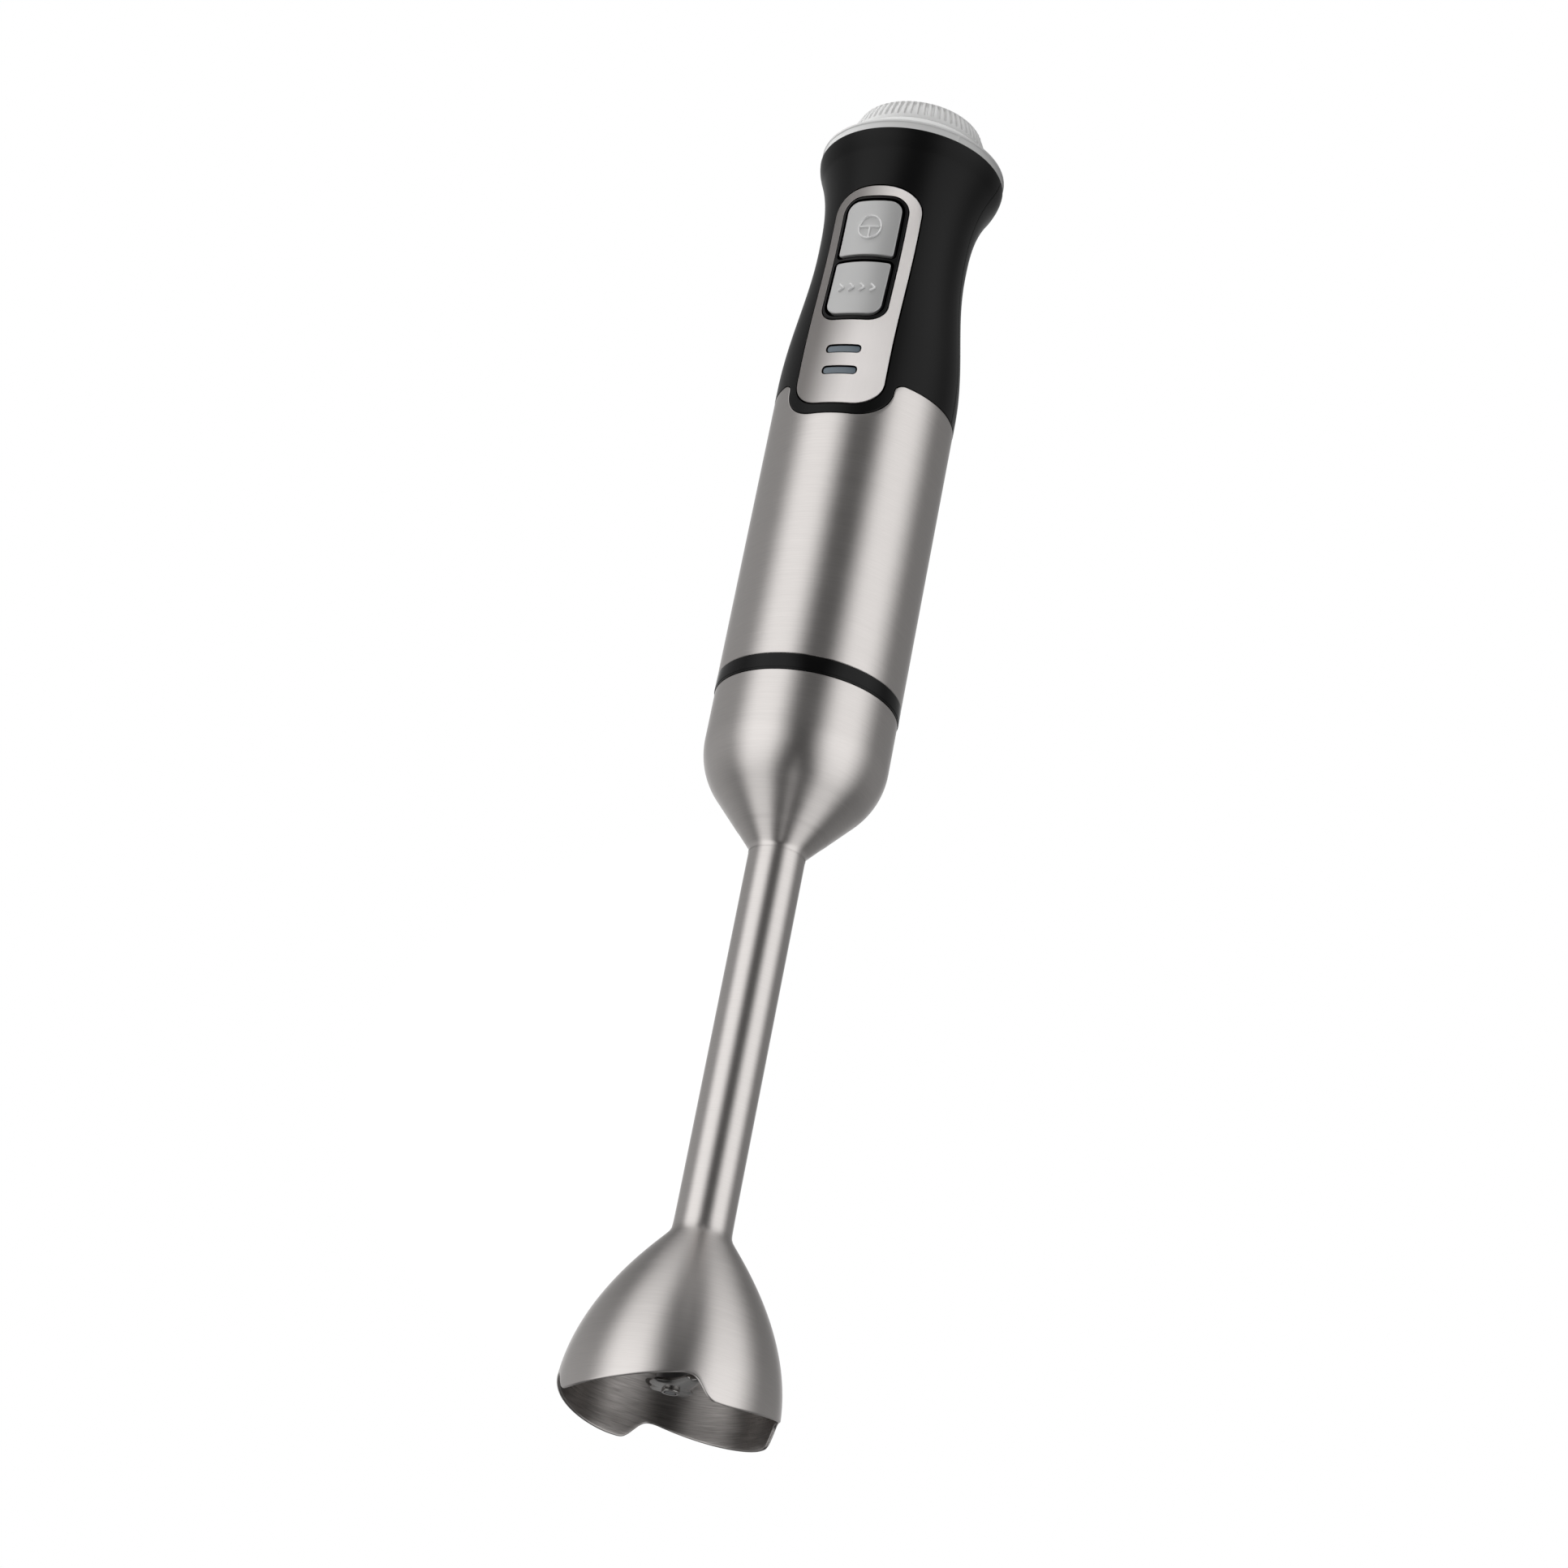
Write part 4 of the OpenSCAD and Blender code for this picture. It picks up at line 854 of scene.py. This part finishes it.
def slot_boxes(grow):
    """The two indicator slots, one above the other in the lenses' box."""
    x0, _, z0 = low("indicator_lenses") - grow
    x1, _, z1 = high("indicator_lenses") + grow
    h = 2.3 * MM + 2 * grow
    corner = 0.9 * MM + grow
    return [rounded_box(x0, x1, z, z + h, corner, corner) for z in (z0, z1 - h)]


def panel():
    """Steel sheet with openings for the surround and the two slots."""
    holes = [to_surface(loop) for loop in [surround_box(0.08 * MM), *slot_boxes(0.1 * MM)]]
    plate("control_plate", "panel_steel", "motor_unit", ["control_panel"], to_surface(panel_outline()), holes,
          level(PANEL_PROUD), wall=1.3 * MM, edge=0.28 * MM, step=1.0 * MM, rim_step=0.4 * MM)


def surround():
    """Black frame between the panel and the buttons, with a soft rounded face."""
    holes = [to_surface(turbo_box(PRESS_GAP)), to_surface(power_box(PRESS_GAP))]
    plate("button_frame", "soft_black", "motor_unit", ["button_surround"], to_surface(surround_box()), holes,
          level(SURROUND_PROUD), wall=2 * MM, edge=0.5 * MM, step=0.9 * MM, rim_step=0.4 * MM)


def lenses():
    """Two small tinted windows, crowned across their height."""
    sunk, crown_h, half_h = 0.22 * MM, 0.12 * MM, 1.2 * MM
    for name, box in zip(("lower_lens", "upper_lens"), slot_boxes(-0.02 * MM)):
        z_mid = (box[:, 1].min() + box[:, 1].max()) / 2
        crown = lambda u, z, m=z_mid: PANEL_PROUD - sunk - crown_h * ((z - m) / half_h) ** 2
        plate(name, "slate_lens", "motor_unit", ["indicator_lenses"], to_surface(box), [], crown,
              wall=1 * MM, edge=0.15 * MM, step=0.5 * MM, rim_step=0.25 * MM)


def ridge(path, width, height, lift, closed=False):
    """A raised line: an ellipse carried along a path on the handle, shrinking to points at open ends."""
    side = inward(path) if closed else to_left(np.gradient(path, axis=0))
    length = lengths(path)
    end = np.minimum(length, length[-1] - length) / (width / 2)
    taper = np.ones(len(path)) if closed else np.sqrt(1 - (1 - np.clip(end, 0, 1)) ** 2)
    turn = np.radians(np.linspace(0, 360, 13)[:-1])[:, None]
    across = np.cos(turn) * width / 2 * taper
    u = path[:, 0] + across * side[:, 0]
    z = path[:, 1] + across * side[:, 1]
    return grid(on_handle(u, z, lift + np.sin(turn) * height * taper), wrap_rows=True, wrap_cols=closed)


def button(name, node, body, box):
    """Button cap with rounded edges and a slight hollow for the thumb: a bell curve both ways."""
    z_mid = (low(node)[2] + high(node)[2]) / 2
    hollow, wide, tall = 0.12 * MM, 6 * MM, 7 * MM
    dish = lambda u, z: BUTTON_PROUD - hollow * np.exp(-(u / wide) ** 2 - ((z - z_mid) / tall) ** 2)
    plate(name, "button_silver", body, [node], to_surface(box), [], dish, wall=1.8 * MM, edge=0.45 * MM,
          step=0.8 * MM, rim_step=0.4 * MM)
    return z_mid


def buttons():
    """The two caps, a ring with a bar and a stem on the upper one and four chevrons on the lower one."""
    z_on = button("power_cap", "power_button", "upper_button", power_box())
    z_boost = button("boost_cap", "turbo_button", "lower_button", turbo_box())
    line = 0.74 * MM, 0.75 * MM, BUTTON_PROUD - 0.16 * MM
    ring_r, inset, bar_z = 4.1 * MM, 0.3 * MM, z_on + 0.15 * MM
    ring = arc(0, z_on, ring_r, 0, 356, 90)
    bar = np.linspace((inset - ring_r, bar_z), (ring_r - inset, bar_z), 30)
    stem = np.linspace((0, bar_z), (0, bar_z - ring_r), 30)
    marks = [ridge(ring, *line, closed=True), ridge(bar, *line), ridge(stem, *line)]
    # Both sets of marks take the lighter copy of the button's finish, a painted highlight
    piece("power_mark", marks, "button_silver", "upper_button", look="button_mark_painted_highlight")
    arm, nib, tip, slope = 1.45 * MM, 0.12 * MM, 0.9 * MM, 1.2
    z = np.linspace(-arm, arm, 40)
    x = tip - slope * np.sqrt(z ** 2 + nib ** 2)
    chevrons = [ridge(np.column_stack([x0 + x, z_boost + z]), *line)
                for x0 in np.array([-5.4, -1.8, 1.8, 5.4]) * MM]
    piece("boost_mark", chevrons, "button_silver", "lower_button", look="button_mark_painted_highlight")


# ---------- head ----------

def head_ring():
    """Upright face under a fuller lip and a sloping shoulder, with a small raised mark for the dial.

    The mark is a flat-topped bell curve of the azimuth times a smooth step up and one down in height.
    """
    r = HEAD_R - 0.1 * MM
    face_r, neck_r, seat_r, inner = r - 0.3 * MM, r - 2.6 * MM, DIAL_R + 0.4 * MM, DIAL_R - 4 * MM
    under, foot = HEAD_Z0 - 1 * MM, HEAD_Z0 + 0.02 * MM
    corners = [(inner, under), (neck_r, under), (neck_r, foot), (face_r, foot), (face_r, HEAD_Z0 + 2.1 * MM),
               (r, HEAD_Z0 + 2.35 * MM), (r, HEAD_Z0 + 3 * MM), (seat_r, SEAT_Z), (inner, SEAT_Z)]
    profile = rounded_corners(corners, np.array([0.2, 0.2, 0.15, 0.3, 0.16, 0.4, 0.5]) * MM, 7)
    mark_azimuth, mark_half_w, mark_h, soft = 46, 0.9, 0.25 * MM, 0.2 * MM
    mark = np.exp(-((HALF_DEGREES - mark_azimuth) / mark_half_w) ** 4)
    x, z = profile.T
    window = smoothstep((z - HEAD_Z0 - 0.4 * MM) / soft) * smoothstep((HEAD_Z0 + 2.2 * MM - z) / soft)
    bulge = mark_h * mark * (window * (x > r - 0.5 * MM))[:, None]
    skin = on_axis(profile[:, :1] + bulge, HALF_DEGREES, profile[:, 1:])
    piece("head_collar", [grid(skin, wrap_rows=True)], "pale_grey", "motor_unit", ["head_ring"])


def dial():
    """Round-ended flutes: the cut falls off smoothly with the distance to each flute's middle line."""
    flutes, columns = 64, 64 * 16
    depth, half_w, soft, flute_start, flute_end = np.array([0.9, 0.48, 0.15, 1.3, 7.6]) * MM
    recess_r, recess = 15.5 * MM, 0.35 * MM
    top_z = high("speed_dial")[2]
    edge_z = DIAL_Z0 + 6.9 * MM
    azimuth = np.arange(columns) * 360 / columns
    side_z = np.linspace(DIAL_Z0 + 0.6 * MM, edge_z, 34)
    side_r = DIAL_R + (DIAL_TOP_R - DIAL_R) * ((side_z - side_z[0]) / (edge_z - side_z[0])) ** 1.6
    turn = np.radians(np.linspace(0, 90, 40)[1:])
    over_r = DIAL_TOP_R * np.cos(turn) ** 0.5
    over_z = edge_z + (top_z - edge_z) * np.sin(turn) ** 0.9
    over_z -= recess * smoothstep((recess_r - over_r) / (0.5 * MM))
    foot = arc(DIAL_R - 0.3 * MM, DIAL_Z0 + 0.3 * MM, 0.3 * MM, -90, 0, 5)
    under_r, under_z = DIAL_R - 3 * MM, DIAL_Z0 + 2 * MM
    under = np.array([[0, under_z], [under_r, under_z], [under_r, DIAL_Z0]])
    outside = np.vstack([np.column_stack([side_r, side_z]), np.column_stack([over_r, over_z])])
    path = lengths(outside)
    past = np.maximum(flute_start - path, path - flute_end)
    pitch = 360 / flutes
    beside = np.radians((azimuth + pitch / 2) % pitch - pitch / 2) * outside[:, :1]
    away = np.hypot(beside, np.maximum(past, 0)[:, None])
    cut = depth * smoothstep((half_w + soft / 2 - away) / soft)
    slope = unit(np.gradient(outside, axis=0))
    rows = np.dstack([outside[:, :1] - cut * slope[:, 1:], outside[:, 1:] + cut * slope[:, :1]])
    plain = [np.repeat(rings[:, None], columns, 1) for rings in (np.vstack([under, foot]), under[:1])]
    rows = np.vstack([plain[0], rows, plain[1]])
    skin = on_axis(np.maximum(rows[..., 0], 0), azimuth, rows[..., 1])
    piece("dial_cap", [grid(skin)], "pale_grey", "dial", ["speed_dial"])


def gland():
    """Rubber bush with a rounded outer lip, turned round the cord's axis at the back of the head."""
    lo, hi = low("cord_gland"), high("cord_gland")
    z = (lo[2] + hi[2]) / 2
    bore, flange_r = 3.6 * MM, (hi[0] - lo[0]) / 2
    back, front, flange_y = hi[1], lo[1], lo[1] + 2 * MM
    corners = [(bore, back - 2 * MM), (bore, back), (GLAND_R, back), (GLAND_R, flange_y),
               (flange_r, flange_y), (flange_r, front), (bore, front)]
    points, faces = turned(rounded_corners(corners, np.array([0.6, 0.6, 0.1, 0.3, 0.3]) * MM, 8), 96)
    placed = np.column_stack([points[:, 0], points[:, 2], points[:, 1] + z])
    piece("cord_bush", [(placed, faces)], "soft_black", "motor_unit", ["cord_gland"])


# ---------- blade ----------

def blade():
    """A level wing in front and one that rises behind: a flat section carried along the blade's length.

    Each wing leads with a straight ground edge and trails with one that falls off like a decaying power of e.
    Beside its root the trailing edge swells into a blunt nose: a flat-topped bell curve of the place.
    """
    half_w, reach = BLADE_HALF_W, BLADE_REACH
    z0, blend = high("blade_nut")[2], 0.6 * MM
    y = np.concatenate([np.linspace(-reach, -half_w, 36), np.linspace(-half_w, half_w, 33)[1:-1],
                        np.linspace(half_w, reach, 36)])
    over = np.maximum(np.abs(y) - half_w, 0)
    share = over / (reach - half_w)
    z = z0 + BLADE_T / 2 + np.where(y > 0, BLADE_RISE, 0) * share * over / (over + blend)
    tip = np.sqrt(1 - share ** 9)
    lead = half_w * (1 - 0.18 * share) * tip
    trail = half_w * (0.15 + 0.85 * np.exp(-2.6 * share)) * tip
    nose_y, nose_half_w = 2.4 * MM, 3.9 * MM
    nose = [NOSE * np.exp(-((y + side * nose_y) / nose_half_w) ** 4) for side in (-1, 1)]
    right = np.where(y >= 0, trail, lead) + nose[0]
    left = np.where(y >= 0, lead, trail) + nose[1]
    grind, ease = 1.1 * MM, 0.3 * MM
    rows = []
    for x, lift in ((0 * y, -0.5), (np.maximum(right - grind, 0), -0.5), (right, -0.1), (right, 0.2),
                    (right - ease, 0.5), (0 * y, 0.5), (ease - left, 0.5), (-left, 0.2), (-left, -0.1),
                    (np.minimum(grind - left, 0), -0.5)):
        rows.append(np.column_stack([x, y, z + lift * BLADE_T]))
    a = math.radians(BLADE_TURN)
    skin = np.array(rows) @ [[math.cos(a), math.sin(a), 0], [-math.sin(a), math.cos(a), 0], [0, 0, 1]]
    piece("blade_wings", [grid(skin, True, False)], "blade_steel", "blade_shaft", ["blade"])


def nut():
    """Low round nut with a domed face and two flats: a circle's radius or a flat's distance, if smaller."""
    lo, hi = low("blade_nut"), high("blade_nut")
    azimuth = np.arange(144) * 2.5
    flat, flat_azimuth, edge = 2.2 * MM, 35, 0.4 * MM
    flats = flat / np.maximum(1e-6, np.abs(np.sin(np.radians(azimuth - flat_azimuth))))
    centre_z = lo[2] + 0.35 * MM
    profile = np.vstack([[[0, hi[2]], [hi[0], hi[2]]], arc(hi[0] - edge, lo[2] + edge, edge, 0, -90, 9),
                         [[1.5 * MM, lo[2]], [1.3 * MM, centre_z], [0, centre_z]]])
    skin = on_axis(np.minimum(profile[:, :1], flats), azimuth, profile[:, 1:])
    piece("hub_nut", [grid(skin)], "blade_steel", "blade_shaft", ["blade_nut"])


for make in (bell, tube, cone, band, barrel, front_shell, rear_shell, panel, surround, lenses, buttons,
             head_ring, dial, gland, blade, nut):
    make()


# ---------- studio ----------

CAMERA_AZIMUTH = 21.803
CAMERA_ELEVATION = -23.832
CAMERA_ROLL = 11.309
CAMERA_DISTANCE = 1153.26 * MM
CAMERA_AIM = Vector((-1.99 * MM, -0.776 * MM, 195.477 * MM))
CAMERA_LENS = 89.2
CAMERA_SENSOR = 36

LAMP_DISTANCE = 1.4
LAMP_SIZE = 1.0

FLOOR_R = 0.9
FLOOR_CLEAR_R = 0.35

# The studio's light, where 1 is white: the soft panels, the gap between them and the ceiling
LEFT_GLOW = 1.24
RIGHT_GLOW = 1.17
GAP_GLOW = 0.09
CEILING_GLOW = 0.2


def towards(azimuth, elevation):
    """The unit vector from the middle out at an azimuth and elevation in degrees."""
    e = math.radians(elevation)
    return Vector(on_axis(math.cos(e), azimuth, math.sin(e)))


def camera():
    """Looks up at the object from the front right, turned a little about its own axis."""
    a, roll = math.radians(CAMERA_AZIMUTH), math.radians(CAMERA_ROLL)
    back = towards(CAMERA_AZIMUTH, CAMERA_ELEVATION)
    level_right = Vector((math.cos(a), math.sin(a), 0))
    level_up = back.cross(level_right)
    right = level_right * math.cos(roll) + level_up * math.sin(roll)
    up = back.cross(right)
    data = bpy.data.cameras.new("camera")
    data.lens = CAMERA_LENS
    data.sensor_width = CAMERA_SENSOR
    view = add_object("camera", data)
    turn = Matrix((right, up, back)).transposed().to_4x4()
    view.matrix_world = Matrix.Translation(CAMERA_AIM + back * CAMERA_DISTANCE) @ turn
    bpy.context.scene.camera = view


def step_up(nodes, angle, start, stop):
    """A smooth step of the azimuth, from 0 at the start to 1 at the stop, in degrees."""
    return nodes.smooth(angle, math.radians(start), math.radians(stop))


def panel_glow(nodes, angle, rise, fall):
    """A tall soft panel of light: a smooth step up and, further on, one down."""
    return step_up(nodes, angle, *rise) * (1 - step_up(nodes, angle, *fall))


def emptied(holder):
    """The nodes of a world or material, with none in them yet."""
    holder.use_nodes = True
    holder.node_tree.nodes.clear()
    return Nodes(holder.node_tree)


def studio_world():
    """White to the camera; to the object, two tall soft panels beside the lens with a dark gap between them.

    The panels fade towards the ceiling and the floor. Matt surfaces take less of the light than glossy ones.
    """
    world = bpy.data.worlds.new("studio")
    bpy.context.scene.world = world
    nodes = emptied(world)
    way = nodes.add("ShaderNodeTexCoord", out="Generated")
    turned_way = nodes.add("ShaderNodeVectorRotate", {"rotation_type": "Z_AXIS"}, Vector=way,
                           Angle=math.radians(-CAMERA_AZIMUTH))
    x, y, z = (nodes.add("ShaderNodeSeparateXYZ", out=axis, _0=turned_way) for axis in "XYZ")
    angle = x.maths("ARCTAN2", x, y * -1.0)
    height = z * z
    below = z.maths("LESS_THAN", z, 0.0)
    lean = math.radians(16)
    angle = angle - angle.maths("SIGN", angle) * height * (below + 1.4) * lean
    left = panel_glow(nodes, angle, rise=(-94, -60), fall=(-36, -4)) * LEFT_GLOW
    right = panel_glow(nodes, angle, rise=(6, 38), fall=(60, 103)) * RIGHT_GLOW
    fade = 1 - height * 0.6
    ceiling = (z.maths("MAXIMUM", z, 0.0) ** 4.0) * CEILING_GLOW
    spill = side_spill(nodes, angle, z) * height.maths("MAXIMUM", 1 - height * 1.7, 0.0)
    shine = GAP_GLOW - below * 0.05 + ceiling + (left + right) * fade + spill
    seen = nodes.add("ShaderNodeLightPath", out="Is Camera Ray")
    scattered = nodes.add("ShaderNodeLightPath", out="Is Diffuse Ray")
    strength = seen.maths("MAXIMUM", seen, shine * (1 - scattered * 0.6))
    lit = nodes.add("ShaderNodeBackground", Color=(1, 1, 1, 1), Strength=strength)
    nodes.add("ShaderNodeOutputWorld", Surface=lit)


def side_spill(nodes, angle, z):
    """Light spilt on the backdrop: more on the left than on the right, and most behind the object."""
    left = 1 - step_up(nodes, angle, -96, -66)
    right = step_up(nodes, angle, 70, 110)
    behind = 1 - panel_glow(nodes, angle, rise=(-180, -140), fall=(140, 180))
    return left * 0.36 + right * 0.2 + behind * nodes.smooth(z, -0.05, 0.4) * 0.9


def lamp(name, azimuth, elevation, power):
    """A soft square lamp aimed at the object's middle. It lights surfaces but isn't mirrored in them."""
    data = bpy.data.lights.new(name, "AREA")
    data.size = LAMP_SIZE
    data.energy = power
    thing = add_object(name, data)
    back = towards(azimuth, elevation)
    middle = Vector((0, 0, high("speed_dial")[2] / 2))
    turn = back.to_track_quat("Z", "Y").to_matrix().to_4x4()
    thing.matrix_world = Matrix.Translation(middle + back * LAMP_DISTANCE) @ turn
    thing.visible_glossy = False


def floor():
    """A pale disc under the rim: seen from above it takes the shadow, from below it lets the view through."""
    disc = on_axis(FLOOR_R, np.arange(0, 360, 3), -0.1 * MM)
    mesh = bpy.data.meshes.new("floor")
    mesh.from_pydata(disc, [], [list(range(len(disc)))])
    material = bpy.data.materials.new("floor")
    nodes = emptied(material)
    pale = nodes.add("ShaderNodeBsdfDiffuse", Color=(0.9, 0.9, 0.9, 1))
    clear = nodes.add("ShaderNodeBsdfTransparent")
    below = nodes.add("ShaderNodeNewGeometry", out="Backfacing")
    fade = nodes.smooth(nodes.vector("LENGTH", nodes.place()), FLOOR_CLEAR_R, FLOOR_R)
    seen = nodes.add("ShaderNodeMixShader", _0=below.maths("MAXIMUM", below, fade), _1=pale, _2=clear)
    nodes.add("ShaderNodeOutputMaterial", Surface=seen)
    mesh.materials.append(material)
    thing = add_object("floor", mesh)
    thing.visible_glossy = False
    thing.visible_diffuse = False


camera()
studio_world()
lamp("key", CAMERA_AZIMUTH - 112, 26, 19)
lamp("fill", CAMERA_AZIMUTH - 12, -4, 7)
lamp("top", CAMERA_AZIMUTH - 20, 84, 11)
floor()
bpy.context.scene.view_settings.view_transform = "Standard"
